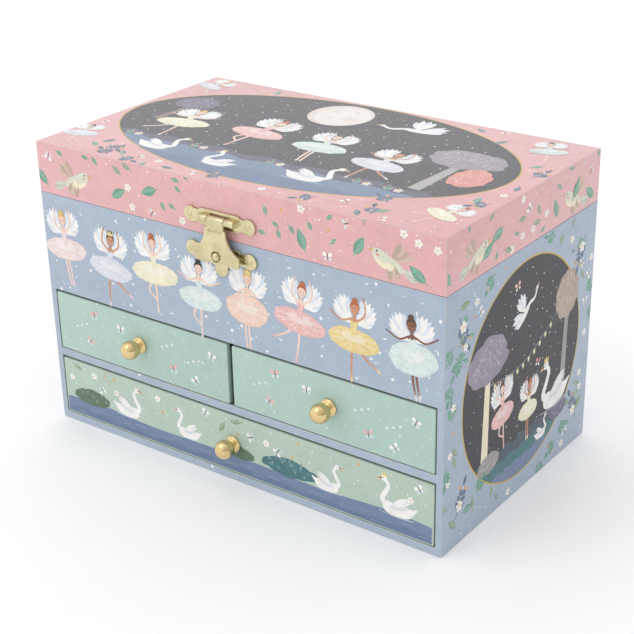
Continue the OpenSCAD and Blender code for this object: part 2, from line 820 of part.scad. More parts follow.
// The spring drum and its gear, which runs on the winding arbor
module mainspring_barrel() {
    drum_y = gear_y + gear_w;
    open_y = drum_y + drum_l + past;
    color(brass) difference() {
        union() {
            spur_gear(barrel_x, gear_y, axis_z, barrel_teeth, gear_m, gear_w, 0);
            bar_y(barrel_x, gear_y + gear_w / 2, drum_y + drum_l, axis_z, drum_r);
        }
        bar_y(barrel_x, gear_y - past, open_y, axis_z, arbor_r + running);
        bar_y(barrel_x, drum_y, open_y, axis_z, drum_r - drum_wall_t);
    }
}

// A point of the mainspring's spiral, which runs from just off the arbor out to the drum wall
function spiral(i, out) =
    let(r0 = arbor_r + loose, r1 = drum_r - drum_wall_t - spring_t + spring_bite,
        r = r0 + (r1 - r0) * i / (spring_turns * spring_steps) + out, a = i * 360 / spring_steps)
    [r * cos(a), r * sin(a)];

module mainspring() {
    n = spring_turns * spring_steps;
    inner = [for (i = [0 : n]) spiral(i, 0)];
    outer = [for (i = [n : -1 : 0]) spiral(i, spring_t)];
    color(steel) translate([barrel_x, gear_y + gear_w + drum_l - past, axis_z]) rotate([90, 0, 0])
        linear_extrude(drum_l - 2 * past) polygon(concat(inner, outer));
}

module winding_arbor() {
    color(steel) bar_y(barrel_x, train_cheek_y - shaft_past, key_y + 2 * past, axis_z, arbor_r);
}

// A butterfly key: a boss on the arbor with two wings
module winding_key() {
    color(brass) difference() {
        union() {
            bar_y(barrel_x, back_y + key_gap, back_y + key_gap + key_boss_l, axis_z, key_boss_r);
            upright(key_y, key_y + key_wing_t) {
                for (s = [-1, 1]) translate([barrel_x + s * key_wing_x, axis_z]) difference() {
                    circle(key_wing_r);
                    circle(key_hole_r);
                }
            }
        }
        bar_y(barrel_x, back_y, key_y + 2 * past, axis_z, arbor_r + held);
    }
}

// The pinned cylinder with its arbor, its pinion and the driver of the crown gear
module music_cylinder() {
    arbor_end = gear_y + gear_w + loose + cheek_t + shaft_past;
    color(brass) {
        bar_y(0, driver_y - shaft_past, arbor_end, axis_z, cylinder_arbor_r);
        bar_y(0, cylinder_y, cylinder_y + cylinder_l, axis_z, cylinder_r);
        spur_gear(0, gear_y, axis_z, cylinder_teeth, gear_m, gear_w, 0.5 + cylinder_teeth / 2);
        spur_gear(0, driver_y, axis_z, driver_teeth, crown_m, driver_w, driver_teeth / 4);
        for (i = [0 : 3 * notes - 1])
            translate([0, cylinder_y + (i % notes + 0.5) * cylinder_l / notes, axis_z])
                rotate([0, i * pin_turn, 0]) translate([0, 0, cylinder_r - pin_root])
                    cylinder(r = note_pin_r, h = pin_proud + pin_root, $fn = 13);
    }
}

// A steel comb with one tooth for each note
module comb() {
    tip = cylinder_r + pin_proud + comb_gap;
    pitch = cylinder_l / notes;
    z = axis_z - comb_t / 2;
    color(steel) difference() {
        union() {
            board([comb_root_x - comb_lap, cylinder_y, z],
                [comb_back_x, cylinder_y + cylinder_l, z + comb_t]);
            for (i = [0 : notes - 1])
                board([tip, cylinder_y + (i + tooth_gap) * pitch, z],
                    [comb_root_x, cylinder_y + (i + 1 - tooth_gap) * pitch, z + comb_t]);
        }
        for (p = comb_screws)
            translate([p[0], p[1], z - past]) cylinder(r = small_screw_r + held, h = comb_t + 2 * past);
    }
}

// The speed train: a wheel with a pinion in the barrel, then a fan that beats the air
module governor_wheel() {
    color(brass) {
        bar_y(governor_x, train_cheek_y - arbor_past, rear_cheek_y + cheek_t + arbor_past, axis_z,
            thin_arbor_r);
        spur_gear(governor_x, gear_y, axis_z, governor_teeth, gear_m, gear_w, 0.5);
        spur_gear(governor_x, wheel_y, axis_z, wheel_teeth, fine_m, wheel_w, 0);
    }
}

module governor_fly() {
    color(brass) {
        bar_y(fly_x, train_cheek_y - arbor_past, rear_cheek_y + cheek_t + arbor_past, axis_z, thin_arbor_r);
        spur_gear(fly_x, wheel_y, axis_z, fly_teeth, fine_m, wheel_w, 0.5);
        board([fly_x - fly_blade_r, gear_y + gear_w, axis_z - fly_blade_half],
            [fly_x + fly_blade_r, rear_cheek_y - past, axis_z + fly_blade_half]);
    }
}

// A bent wire that the closed lid presses down; its finger stops the fan
module stop_wire() {
    finger_z = axis_z + fly_blade_r + wire_clear + wire_r;
    color(steel) {
        translate([wire_x, wire_y, finger_z]) cylinder(r = wire_r, h = frame_z - wire_top_gap - finger_z);
        translate([wire_x, wire_y, finger_z]) sphere(wire_r);
        bar_y(wire_x, rear_cheek_y - wire_finger_l, wire_y, finger_z, wire_r);
    }
}

// A gear with its teeth on its underside, which turns the spindle
module crown_gear() {
    inner_r = crown_r - driver_w / 2 - crown_side;
    outer_r = crown_r + driver_w / 2 + crown_side;
    tip = crown_tip * crown_m * PI;
    root = crown_root * crown_m * PI;
    color(brass) translate([0, spindle_y, 0]) difference() {
        union() {
            translate([0, 0, crown_root_z]) cylinder(r = outer_r, h = crown_web);
            for (i = [0 : crown_teeth - 1]) rotate([0, 0, 90 + (i + 0.5) * 360 / crown_teeth])
                translate([inner_r + crown_lap, 0, crown_root_z]) rotate([90, 0, 90])
                    linear_extrude(outer_r - inner_r - 2 * crown_lap)
                        polygon([[-root, crown_lap], [-root, 0], [-tip, -crown_tooth_h],
                            [tip, -crown_tooth_h], [root, 0], [root, crown_lap]]);
        }
        translate([0, 0, crown_root_z - past]) cylinder(r = spindle_r + held, h = crown_web + 2 * past);
    }
}

module dancer_spindle() {
    foot_z = bearing_top_z - spindle_foot;
    color(steel) translate([0, spindle_y, 0]) {
        translate([0, 0, foot_z]) cylinder(r = spindle_r, h = disc_z + disc_t / 2 - foot_z);
        translate([0, 0, disc_z]) cylinder(r = disc_r, h = disc_t);
    }
}

// The round seat on the free end of the spring, folded forward with it
module spring_cap() {
    color(steel) difference() {
        bar_y(0, spring_end_y - cap_t, spring_end_y, dancer_z, cap_r);
        bar_y(0, spring_end_y - cap_t - past, spring_end_y - cap_seat, dancer_z, peg_r + running);
    }
}

// The spring's outer shape, bent a quarter turn under the closed lid
module dancer_spring() {
    color(steel) translate([0, spring_end_y, spring_base_z])
        rotate([90, 0, 90]) rotate_extrude(angle = 90) translate([spring_bend_r, 0]) circle(spring_r);
}

// Places an upright figure with its foot at the origin into the folded pose
module folded() {
    translate([0, dancer_foot_y, dancer_z]) rotate([90, 0, 0]) children();
}

module limb(a, ra, b, rb) {
    hull() {
        translate(a) sphere(ra, $fn = 16);
        translate(b) sphere(rb, $fn = 16);
    }
}

module dancer_figure() {
    leg_top = hip_z - 3;
    color(skin) folded() {
        translate([0, 0, -peg_in]) cylinder(r = peg_r, h = peg_l);
        for (s = [-1, 1]) {
            limb([s * ankle_x, 0, 1.2], ankle_r, [s * hip_x, 0, leg_top], hip_r);
            limb([s * shoulder_x, 0, shoulder_z], shoulder_r, [s * elbow_x, 0, elbow_z], ankle_r);
            limb([s * elbow_x, 0, elbow_z], ankle_r, [s * hand_x, 0, dancer_h], hand_r);
        }
        translate([0, 0, hip_z - 4]) cylinder(r = waist_r, h = 8);
        hull() {
            translate([0, 0, hip_z + 3]) sphere(waist_r, $fn = 16);
            translate([0, 0, shoulder_z - 0.6]) scale([chest_wide, 1, 1]) sphere(chest_r, $fn = 20);
        }
        translate([0, 0, shoulder_z]) cylinder(r = neck_r, h = head_z - shoulder_z);
        translate([0, 0, head_z]) sphere(head_r);
        translate([0, bun_y, head_z + head_r]) sphere(bun_r);
    }
}

module dancer_tutu() {
    bore = waist_r + running;
    top = waist_r + tutu_top;
    color(net) folded() translate([0, 0, tutu_z]) rotate_extrude()
        polygon([[bore, 0], [tutu_r, -tutu_edge], [tutu_r, 0], [top, tutu_rise], [bore, tutu_rise]]);
}

base_panel();
side_wall(-1);  // left_wall
side_wall(1);  // right_wall
back_wall();
front_wall();
drawer_shelf();
drawer_divider();
compartment_floor();
inner_liner();
floor_lining();
compartment_dividers();
ring_cushion();
movement_cover();
hinge_case_leaves();
hinge_pins();
clasp_case_plate();
clasp_stud();
case_nails();
lid_top_panel();
lid_front_wall();
lid_back_wall();
lid_side_wall(-1);  // lid_left_wall
lid_side_wall(1);  // lid_right_wall
lid_mirror();
mirror_frame();
hinge_lid_leaves();
clasp_lid_plate();
clasp_pin();
lid_nails();
clasp_hasp();
drawer_front(-side, -half_bay, upper_bay_z);  // left_drawer_front
drawer_tray(-side, -half_bay, upper_bay_z);  // left_drawer_tray
drawer_knob(-side, -half_bay, upper_bay_z);  // left_drawer_knob
drawer_screw(-side, -half_bay, upper_bay_z);  // left_drawer_screw
drawer_front(half_bay, side, upper_bay_z);  // right_drawer_front
drawer_tray(half_bay, side, upper_bay_z);  // right_drawer_tray
drawer_knob(half_bay, side, upper_bay_z);  // right_drawer_knob
drawer_screw(half_bay, side, upper_bay_z);  // right_drawer_screw
drawer_front(-side, side, base_t);  // bottom_drawer_front
drawer_tray(-side, side, base_t);  // bottom_drawer_tray
drawer_knob(-side, side, base_t);  // bottom_drawer_knob
drawer_screw(-side, side, base_t);  // bottom_drawer_screw
movement_bedplate();
movement_screws();
mainspring_barrel();
mainspring();
winding_arbor();
winding_key();
music_cylinder();
comb();
governor_wheel();
governor_fly();
stop_wire();
crown_gear();
dancer_spindle();
spring_cap();
dancer_spring();
dancer_figure();
dancer_tutu();
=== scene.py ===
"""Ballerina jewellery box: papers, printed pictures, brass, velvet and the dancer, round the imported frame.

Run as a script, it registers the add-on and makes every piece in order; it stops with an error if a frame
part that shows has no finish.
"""

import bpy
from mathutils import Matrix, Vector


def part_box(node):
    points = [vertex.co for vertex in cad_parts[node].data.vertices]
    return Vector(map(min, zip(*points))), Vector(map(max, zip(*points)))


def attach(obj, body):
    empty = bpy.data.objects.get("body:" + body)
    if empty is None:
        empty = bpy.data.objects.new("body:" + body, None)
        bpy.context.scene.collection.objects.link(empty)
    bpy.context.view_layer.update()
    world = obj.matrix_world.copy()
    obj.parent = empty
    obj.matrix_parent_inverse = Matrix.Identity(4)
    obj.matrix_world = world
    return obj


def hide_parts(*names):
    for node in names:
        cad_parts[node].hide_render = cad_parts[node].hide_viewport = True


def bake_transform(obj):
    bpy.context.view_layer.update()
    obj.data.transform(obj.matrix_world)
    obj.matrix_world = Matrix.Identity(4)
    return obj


bl_info = {
    "name": "Ballerina Jewellery Box",
    "version": (1, 0, 0),
    "blender": (4, 5, 0),
    "location": "3D View > Sidebar > Jewellery Box",
    "description": "Papers, printed pictures, brass, velvet and a dancer on a music-box frame",
    "category": "Object",
}

import random
from math import asin, atan2, cos, degrees, exp, hypot, log, pi, radians, sin, sqrt

import bmesh
import bpy
from mathutils import Matrix, Vector

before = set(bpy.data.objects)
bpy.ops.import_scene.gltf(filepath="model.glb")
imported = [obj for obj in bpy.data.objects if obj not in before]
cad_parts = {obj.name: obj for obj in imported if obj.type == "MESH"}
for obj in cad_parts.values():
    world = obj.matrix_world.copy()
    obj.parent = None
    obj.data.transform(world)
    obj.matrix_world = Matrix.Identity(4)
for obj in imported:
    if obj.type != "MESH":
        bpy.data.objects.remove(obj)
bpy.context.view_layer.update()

MM = 0.001
TURN = 2 * pi

# Places taken from the frame, in metres
CASE_LOW, CASE_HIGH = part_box("base_panel")
CASE_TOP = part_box("left_wall")[1].z
INNER_X = -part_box("left_wall")[1].x
INNER_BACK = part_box("back_wall")[0].y
INNER_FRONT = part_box("front_wall")[1].y
BASE_TOP = CASE_HIGH.z
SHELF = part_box("drawer_shelf")
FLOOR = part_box("compartment_floor")
LID_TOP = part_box("lid_top_panel")
LID_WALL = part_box("lid_left_wall")
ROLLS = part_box("ring_cushion")
HALF_W = CASE_HIGH.x
HALF_D = CASE_HIGH.y

# The paper lies this far inside the frame's faces, so that inks laid on it stay within them
PAPER_IN = 0.2 * MM
INK_START = 0.01 * MM
INK_STEP = 0.008 * MM

SLACK = 0.1 * MM  # two places nearer than this count as one
PAST = 0.01  # how far a cutter reaches past the board that it opens
SHARP = radians(40)  # an edge bent more than this is rounded
SEAM_SHARE = 0.3  # how much of the full rounding an edge at the seam gets
FLAT = 0.995  # a face whose normal is this near an axis is not part of a rounded edge


# Settings

def shade(name, description, default):
    return bpy.props.FloatVectorProperty(
        name=name, description=description, default=default, size=3, min=0, max=1, subtype="COLOR")


def length(name, description, default, low, high):
    return bpy.props.FloatProperty(
        name=name, description=description, default=default, min=low, max=high,
        subtype="DISTANCE", unit="LENGTH", precision=5)


def factor(name, description, default, low, high):
    return bpy.props.FloatProperty(
        name=name, description=description, default=default, min=low, max=high, subtype="FACTOR")


def number(name, description, default, low, high):
    return bpy.props.IntProperty(name=name, description=description, default=default, min=low, max=high)


class BalleboxPapers(bpy.types.PropertyGroup):
    """Papers over the boards"""
    blue: shade("Case blue", "Ground colour of the case paper", (0.408, 0.484, 0.590))
    pink: shade("Lid pink", "Ground colour of the lid paper", (0.770, 0.428, 0.440))
    mint: shade("Drawer mint", "Ground colour of the upper drawer fronts", (0.440, 0.600, 0.535))
    sage: shade("Drawer sage", "Ground colour of the bottom drawer front", (0.475, 0.590, 0.500))
    lining: shade("Bay green", "Paper inside the drawer bays and on the trays", (0.150, 0.225, 0.205))
    edge_radius: length("Edge radius", "Rounding of the wrapped board edges", 0.6 * MM, 0.2 * MM, 1.5 * MM)
    gloss: factor("Paper roughness", "Roughness of the satin varnish", 0.42, 0.2, 0.9)


class BalleboxBrass(bpy.types.PropertyGroup):
    """Clasp, hinges and knobs"""
    plate: shade("Plate brass", "Colour of the clasp and the hinges", (0.74, 0.67, 0.42))
    knob: shade("Knob gold", "Colour of the knobs and the key", (0.80, 0.62, 0.31))
    tarnish: factor("Tarnish", "How dull the plates are in their cloudy patches", 0.5, 0, 1)


class BalleboxSoft(bpy.types.PropertyGroup):
    """Velvet linings and ring rolls"""
    velvet: shade("Lining velvet", "Colour of the velvet linings", (0.58, 0.45, 0.66))
    rolls: shade("Roll velvet", "Colour of the ring rolls", (0.66, 0.40, 0.52))
    card: length("Card thickness", "Thickness of the flocked cards in the drawers", 0.9 * MM, 0.3 * MM,
            2 * MM)
    roll_count: number("Rolls", "Number of ring rolls", 5, 3, 6)


class BalleboxDancer(bpy.types.PropertyGroup):
    """The dancer and her spring"""
    skin: shade("Skin", "Colour of the painted skin", (0.80, 0.52, 0.40))
    hair: shade("Hair", "Colour of the painted hair", (0.16, 0.075, 0.04))
    satin: shade("Satin", "Colour of the bodice and the shoes", (0.80, 0.45, 0.50))
    net: shade("Net", "Colour of the tutu", (0.88, 0.66, 0.70))
    tutu_layers: number("Tutu layers", "Layers of net", 5, 1, 8)
    spring_wire: length("Spring wire", "Diameter of the spring's wire", 0.7 * MM, 0.3 * MM, 1 * MM)


class BalleboxStage(bpy.types.PropertyGroup):
    """Floor, lights and camera"""
    floor: shade("Floor", "Colour of the plain floor", (0.92, 0.92, 0.92))
    surround: bpy.props.FloatProperty(
        name="Surround", description="Strength of the white room", default=1.06, min=0, max=5)
    key_power: bpy.props.FloatProperty(
        name="Key light", description="Power of the large soft light", default=6.0, min=0, max=200,
        subtype="POWER", unit="POWER")
    lens: bpy.props.FloatProperty(
        name="Lens", description="Focal length of the camera, in millimetres", default=81.39, min=20, max=200)


def settings():
    return bpy.context.scene.ballebox


# Modelling helpers

def deselect_all():
    if bpy.context.mode != "OBJECT":
        bpy.ops.object.mode_set(mode="OBJECT")
    bpy.ops.object.select_all(action="DESELECT")


def select_only(obj):
    deselect_all()
    obj.select_set(True)
    bpy.context.view_layer.objects.active = obj
    return obj


def settle(obj):
    """Moves the object's place, turn and size into its mesh."""
    select_only(obj)
    bpy.ops.object.transform_apply(location=True, rotation=True, scale=True)
    return obj


def fresh(make, **values):
    """A new primitive, with its place in its mesh."""
    deselect_all()
    make(**values)
    return settle(bpy.context.active_object)


def linked(name, mesh):
    """A new object in the scene for a mesh."""
    obj = bpy.data.objects.new(name, mesh)
    bpy.context.scene.collection.objects.link(obj)
    return obj


def in_mm(*points):
    return [tuple(c * MM for c in point) for point in points]


def aim(turn):
    """The cosine and the sine of a turn in degrees."""
    return cos(radians(turn)), sin(radians(turn))


def add_block(name, low, high):
    """A box from one corner to the opposite one."""
    low, high = Vector(low), Vector(high)
    obj = fresh(bpy.ops.mesh.primitive_cube_add, size=1, location=(low + high) / 2, scale=high - low)
    obj.name = obj.data.name = name
    return obj


def apply_modifier(obj, kind, **values):
    select_only(obj)
    made = obj.modifiers.new(kind.title(), kind)
    for key, value in values.items():
        setattr(made, key, value)
    bpy.ops.object.modifier_apply(modifier=made.name)
    return obj


def cut(obj, cutter):
    """Takes the cutter's shape out of a board."""
    apply_modifier(obj, "BOOLEAN", operation="DIFFERENCE", solver="EXACT", object=cutter)
    bpy.data.objects.remove(cutter)


def carve(obj, low, high):
    """Cuts a box-shaped room out of a board."""
    cut(obj, add_block("cutter", low, high))


def round_edges(obj, radius, segments=3, angle=SHARP):
    return apply_modifier(obj, "BEVEL", width=radius, segments=segments, limit_method="ANGLE",
            angle_limit=angle)


def round_boards(obj, radius, seam):
    """Rounds a board's edges, and those at the seam much less, so that the lid closes in a fine line."""
    shape = bmesh.new()
    shape.from_mesh(obj.data)
    sharp = [edge.calc_face_angle(0) > SHARP for edge in shape.edges]
    near = [max(abs(v.co.z - seam) for v in edge.verts) < SLACK for edge in shape.edges]
    shape.free()
    weights = obj.data.attributes.new("bevel_weight_edge", "FLOAT", "EDGE")
    for i, weight in enumerate(weights.data):
        weight.value = (SEAM_SHARE if near[i] else 1.0) if sharp[i] else 0.0
    return apply_modifier(obj, "BEVEL", width=radius, segments=3, limit_method="WEIGHT")


def mark_wear(obj):
    """Writes 1 to the Wear attribute on the rounded edges, where a painted highlight is laid, and 0 on the
    flats.
    """
    wear = obj.data.attributes.new("EdgeHighlight", "FLOAT", "CORNER")
    for face in obj.data.polygons:
        rounded = max(abs(c) for c in face.normal) < FLAT
        for loop in face.loop_indices:
            wear.data[loop].value = 1.0 if rounded else 0.0
    return obj


def smooth(obj, angle=35):
    select_only(obj)
    bpy.ops.object.shade_smooth_by_angle(angle=radians(angle))
    return obj


def dress(obj, *materials):
    obj.data.materials.clear()
    for material in materials:
        obj.data.materials.append(material)
    return obj


def place(obj, body, slot=None, nodes=()):
    """Lets a piece ride on its body and hides the frame nodes it stands for; slot is not used."""
    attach(obj, body)
    if nodes:
        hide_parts(*nodes)
    return obj


# Materials

def new_group(name, inputs, outputs):
    """A shader node group with named inputs, as (kind, name, default), and named outputs."""
    group = bpy.data.node_groups.new(name, "ShaderNodeTree")
    for kind, label, value in inputs:
        socket = group.interface.new_socket(name=label, in_out="INPUT", socket_type=f"NodeSocket{kind}")
        socket.default_value = value
    for kind, label in outputs:
        group.interface.new_socket(name=label, in_out="OUTPUT", socket_type=f"NodeSocket{kind}")
    return group


class Wiring:
    """Short ways to add nodes to one tree."""

    def __init__(self, tree):
        self.tree = tree

    def feed(self, node, key, value):
        """Gives a node's input a plain value, or what another node puts out."""
        if isinstance(value, bpy.types.NodeSocket):
            self.tree.links.new(value, node.inputs[key])
        else:
            node.inputs[key].default_value = value

    def node(self, kind, inputs=None, **values):
        made = self.tree.nodes.new(f"ShaderNode{kind}")
        for key, value in values.items():
            setattr(made, key, value)
        for key, value in (inputs or {}).items():
            self.feed(made, key, value)
        return made

    def maths(self, operation, a, b=0.5, clamp=False):
        made = self.node("Math", operation=operation, use_clamp=clamp)
        for slot, value in enumerate((a, b)):
            self.feed(made, slot, value)
        return made.outputs[0]

    def noise(self, place, scale, detail=2.0, roughness=0.5):
        return self.node("TexNoise", {"Vector": place, "Scale": scale, "Detail": detail,
                "Roughness": roughness})

    def ranged(self, value, low, high, out_low=0.0, out_high=1.0):
        return self.node("MapRange", {
            "Value": value, "From Min": low, "From Max": high, "To Min": out_low, "To Max": out_high,
        }).outputs["Result"]

    def mix(self, factor, a, b, blend="MIX"):
        made = self.node("Mix", data_type="RGBA", blend_type=blend)
        for key, value in ((0, factor), (6, a), (7, b)):
            self.feed(made, key, value)
        return made.outputs[2]

    def place(self):
        return self.node("TexCoord").outputs["Object"]

    def group(self, tree, inputs):
        made = self.tree.nodes.new("ShaderNodeGroup")
        made.node_tree = tree
        for key, value in inputs.items():
            self.feed(made, key, value)
        return made


def group_ends(tree):
    wiring = Wiring(tree)
    return wiring, tree.nodes.new("NodeGroupInput"), tree.nodes.new("NodeGroupOutput")


def once(name, build):
    """The named node group, built the first time it is asked for."""
    return bpy.data.node_groups.get(name) or build(name)


def gouache_group(name="Gouache strokes"):
    """Thin paint brushed by hand: cloudy blotches, and streaks that wander."""
    tree = new_group(name, [
        ("Color", "Colour", (0.5, 0.5, 0.5, 1)), ("Float", "Blotch", 0.3), ("Float", "Streak", 0.2),
        ("Float", "Blotches per metre", 90.0), ("Float", "Streaks per metre", 420.0),
    ], [("Color", "Colour"), ("Float", "Height")])
    w, start, end = group_ends(tree)
    here = w.place()
    wander = w.noise(here, 55.0, 1.0)
    bent = w.node("VectorMath", {0: wander.outputs["Color"], 1: (0.035, 0.035, 0.035)},
            operation="MULTIPLY").outputs[0]
    moved = w.node("VectorMath", {0: here, 1: bent}, operation="ADD").outputs[0]
    blotch = w.noise(moved, start.outputs["Blotches per metre"], 3.0, 0.6).outputs["Fac"]
    laid = w.node("Mapping", {"Vector": moved, "Rotation": (0.5, 0.4, 0.6),
            "Scale": (1.0, 0.22, 1.0)}).outputs[0]
    streak = w.noise(laid, start.outputs["Streaks per metre"], 2.0, 0.7).outputs["Fac"]
    tone = w.maths("ADD",
            w.maths("MULTIPLY", w.maths("SUBTRACT", blotch), start.outputs["Blotch"]),
            w.maths("MULTIPLY", w.maths("SUBTRACT", streak), start.outputs["Streak"]))
    lit = w.maths("ADD", tone, 1.0)
    tinted = w.node("VectorMath", {0: start.outputs["Colour"]}, operation="SCALE")
    w.feed(tinted, "Scale", lit)
    w.feed(end, "Colour", tinted.outputs[0])
    w.feed(end, "Height", streak)
    return tree


def dots_group(name="Paint dots"):
    """Small scattered dots, cut from balls that lie at random depths."""
    tree = new_group(name, [
        ("Float", "Dots per metre", 90.0), ("Float", "Size", 0.12), ("Float", "Share", 0.5),
    ], [("Float", "Mask"), ("Color", "Tint")])
    w, start, end = group_ends(tree)
    cell = w.node("TexVoronoi", {"Vector": w.place(), "Scale": start.outputs["Dots per metre"]})
    inside = w.ranged(w.maths("SUBTRACT", start.outputs["Size"], cell.outputs["Distance"]), 0.0, 0.02)
    kept = w.node("SeparateColor", {"Color": cell.outputs["Color"]}).outputs["Red"]
    chosen = w.maths("LESS_THAN", kept, start.outputs["Share"])
    w.feed(end, "Mask", w.maths("MULTIPLY", inside, chosen))
    w.feed(end, "Tint", cell.outputs["Color"])
    return tree


def grain_group(name="Paper grain"):
    """Fine fibres and a slight pressed texture under the varnish."""
    tree = new_group(name, [("Float", "Fine", 1.0)], [("Float", "Height"), ("Float", "Gloss")])
    w, start, end = group_ends(tree)
    here = w.place()
    fibre = w.noise(here, 2600.0, 3.0, 0.6).outputs["Fac"]
    pressed = w.noise(here, 620.0, 2.0).outputs["Fac"]
    height = w.maths("MULTIPLY", w.maths("ADD", fibre, pressed), start.outputs["Fine"])
    w.feed(end, "Height", height)
    w.feed(end, "Gloss", w.ranged(pressed, 0.3, 0.7, -0.05, 0.05))
    return tree


def wear_group(name="Rubbed edges"):
    """Painted highlight: where the Wear attribute marks a rounded edge, patches are painted in a lighter
    colour.
    """
    tree = new_group(name, [("Float", "Amount", 0.5)], [("Float", "Mask")])
    w, start, end = group_ends(tree)
    edge = w.node("Attribute", attribute_name="EdgeHighlight").outputs["Fac"]
    patches = w.ranged(w.noise(w.place(), 260.0, 4.0, 0.7).outputs["Fac"], 0.42, 0.62)
    w.feed(end, "Mask", w.maths("MULTIPLY", w.maths("MULTIPLY", edge, patches), start.outputs["Amount"]))
    return tree


def metal_group(name="Handled metal"):
    """Tarnish clouds, fine rubbing marks and a colour that turns browner where it is dull."""
    tree = new_group(name, [
        ("Color", "Bright", (0.8, 0.7, 0.45, 1)), ("Color", "Dull", (0.5, 0.38, 0.2, 1)),
        ("Float", "Tarnish", 0.4), ("Float", "Roughness", 0.25), ("Float", "Marks", 1.0),
    ], [("Color", "Colour"), ("Float", "Roughness"), ("Float", "Height")])
    w, start, end = group_ends(tree)
    here = w.place()
    cloud = w.ranged(w.noise(here, 180.0, 4.0, 0.65).outputs["Fac"], 0.35, 0.75)
    long_way = w.node("Mapping", {"Vector": here, "Rotation": (0.3, 0.2, 0.5),
            "Scale": (1.0, 9.0, 9.0)}).outputs[0]
    marks = w.noise(long_way, 900.0, 2.0, 0.8).outputs["Fac"]
    dull = w.maths("MULTIPLY", cloud, start.outputs["Tarnish"])
    w.feed(end, "Colour", w.mix(dull, start.outputs["Bright"], start.outputs["Dull"]))
    rough = w.maths("ADD", start.outputs["Roughness"], w.maths("MULTIPLY", dull, 0.25))
    rough = w.maths("ADD", rough, w.maths("MULTIPLY", w.maths("SUBTRACT", marks), 0.18), clamp=True)
    w.feed(end, "Roughness", rough)
    w.feed(end, "Height", w.maths("MULTIPLY", marks, start.outputs["Marks"]))
    return tree


def pile_group(name="Velvet pile"):
    """Short upright fibres, brushed this way and that."""
    tree = new_group(name, [
        ("Color", "Colour", (0.5, 0.4, 0.6, 1)), ("Float", "Brushed", 0.35),
    ], [("Color", "Colour"), ("Float", "Height")])
    w, start, end = group_ends(tree)
    here = w.place()
    brushed = w.noise(here, 130.0, 3.0, 0.6).outputs["Fac"]
    fibre = w.noise(here, 3200.0, 2.0, 0.8).outputs["Fac"]
    tone = w.maths("ADD",
            w.maths("MULTIPLY", w.maths("SUBTRACT", brushed), start.outputs["Brushed"]),
            w.maths("MULTIPLY", w.maths("SUBTRACT", fibre), 0.5))
    tinted = w.node("VectorMath", {0: start.outputs["Colour"]}, operation="SCALE")
    w.feed(tinted, "Scale", w.maths("ADD", tone, 1.0))
    w.feed(end, "Colour", tinted.outputs[0])
    w.feed(end, "Height", fibre)
    return tree


MADE = []  # names of the materials made here


def new_material(name, **fixed):
    """A material with its Principled shader, whose plain values are set on the shader's own sockets."""
    material = bpy.data.materials.new(name)
    MADE.append(material.name)
    material.use_nodes = True
    tree = material.node_tree
    shader = next(n for n in tree.nodes if n.type == "BSDF_PRINCIPLED")
    for key, value in fixed.items():
        shader.inputs[key.replace("_", " ")].default_value = value
    return material, Wiring(tree), shader


def bump(w, shader, height, distance, strength=1.0):
    made = w.node("Bump", {"Height": height, "Distance": distance, "Strength": strength})
    w.feed(shader, "Normal", made.outputs[0])


def paper(name, colour, gloss, blotch=0.16, streak=0.14, dots=0.0, dot_share=0.5,
        dot_colour=(0.85, 0.86, 0.9, 1),
        wear=0.6, board=(0.62, 0.56, 0.52, 1), from_inks=False, varnish=0.0):
    """Printed paper under satin varnish, on a plain ground or on the Ink attribute."""
    material, w, shader = new_material(name, IOR=1.5, Coat_Weight=varnish, Coat_Roughness=0.28)
    ground = (*colour, 1) if colour else None
    if from_inks:
        ground = w.node("Attribute", attribute_name="Ink").outputs["Color"]
    paint = w.group(once("Gouache strokes", gouache_group),
            {"Colour": ground, "Blotch": blotch, "Streak": streak})
    found = paint.outputs["Colour"]
    if dots:
        spots = w.group(once("Paint dots", dots_group),
                {"Dots per metre": 105.0, "Size": dots, "Share": dot_share})
        found = w.mix(spots.outputs["Mask"], found, dot_colour)
    # The board colour, laid in patches on the rounded edges, is a painted highlight.
    if wear:
        edge_lit = w.group(once("Rubbed edges", wear_group), {"Amount": wear})
        found = w.mix(edge_lit.outputs["Mask"], found, board)
    w.feed(shader, "Base Color", found)
    grain = w.group(once("Paper grain", grain_group), {"Fine": 1.0})
    w.feed(shader, "Roughness", w.maths("ADD", grain.outputs["Gloss"], gloss))
    height = w.maths("ADD", grain.outputs["Height"], w.maths("MULTIPLY", paint.outputs["Height"], 1.4))
    bump(w, shader, height, 0.00004)
    return material


def metal(name, bright, dull, tarnish, roughness, marks=1.0, distance=0.00001):
    material, w, shader = new_material(name, Metallic=1.0)
    body = w.group(once("Handled metal", metal_group), {
        "Bright": (*bright, 1), "Dull": (*dull, 1), "Tarnish": tarnish, "Roughness": roughness,
        "Marks": marks})
    w.feed(shader, "Base Color", body.outputs["Colour"])
    w.feed(shader, "Roughness", body.outputs["Roughness"])
    bump(w, shader, body.outputs["Height"], distance)
    return material


def velvet(name, colour, sheen=0.6):
    material, w, shader = new_material(name, Roughness=0.95, Sheen_Weight=sheen, Sheen_Roughness=0.4)
    shader.inputs["Sheen Tint"].default_value = (1.0, 0.94, 1.0, 1)
    pile = w.group(once("Velvet pile", pile_group), {"Colour": (*colour, 1)})
    w.feed(shader, "Base Color", pile.outputs["Colour"])
    bump(w, shader, pile.outputs["Height"], 0.00012, 0.6)
    return material


def made_once(make, name, *values, **more):
    """The named material, made the first time it is asked for."""
    return bpy.data.materials.get(name) or make(name, *values, **more)


# Stage

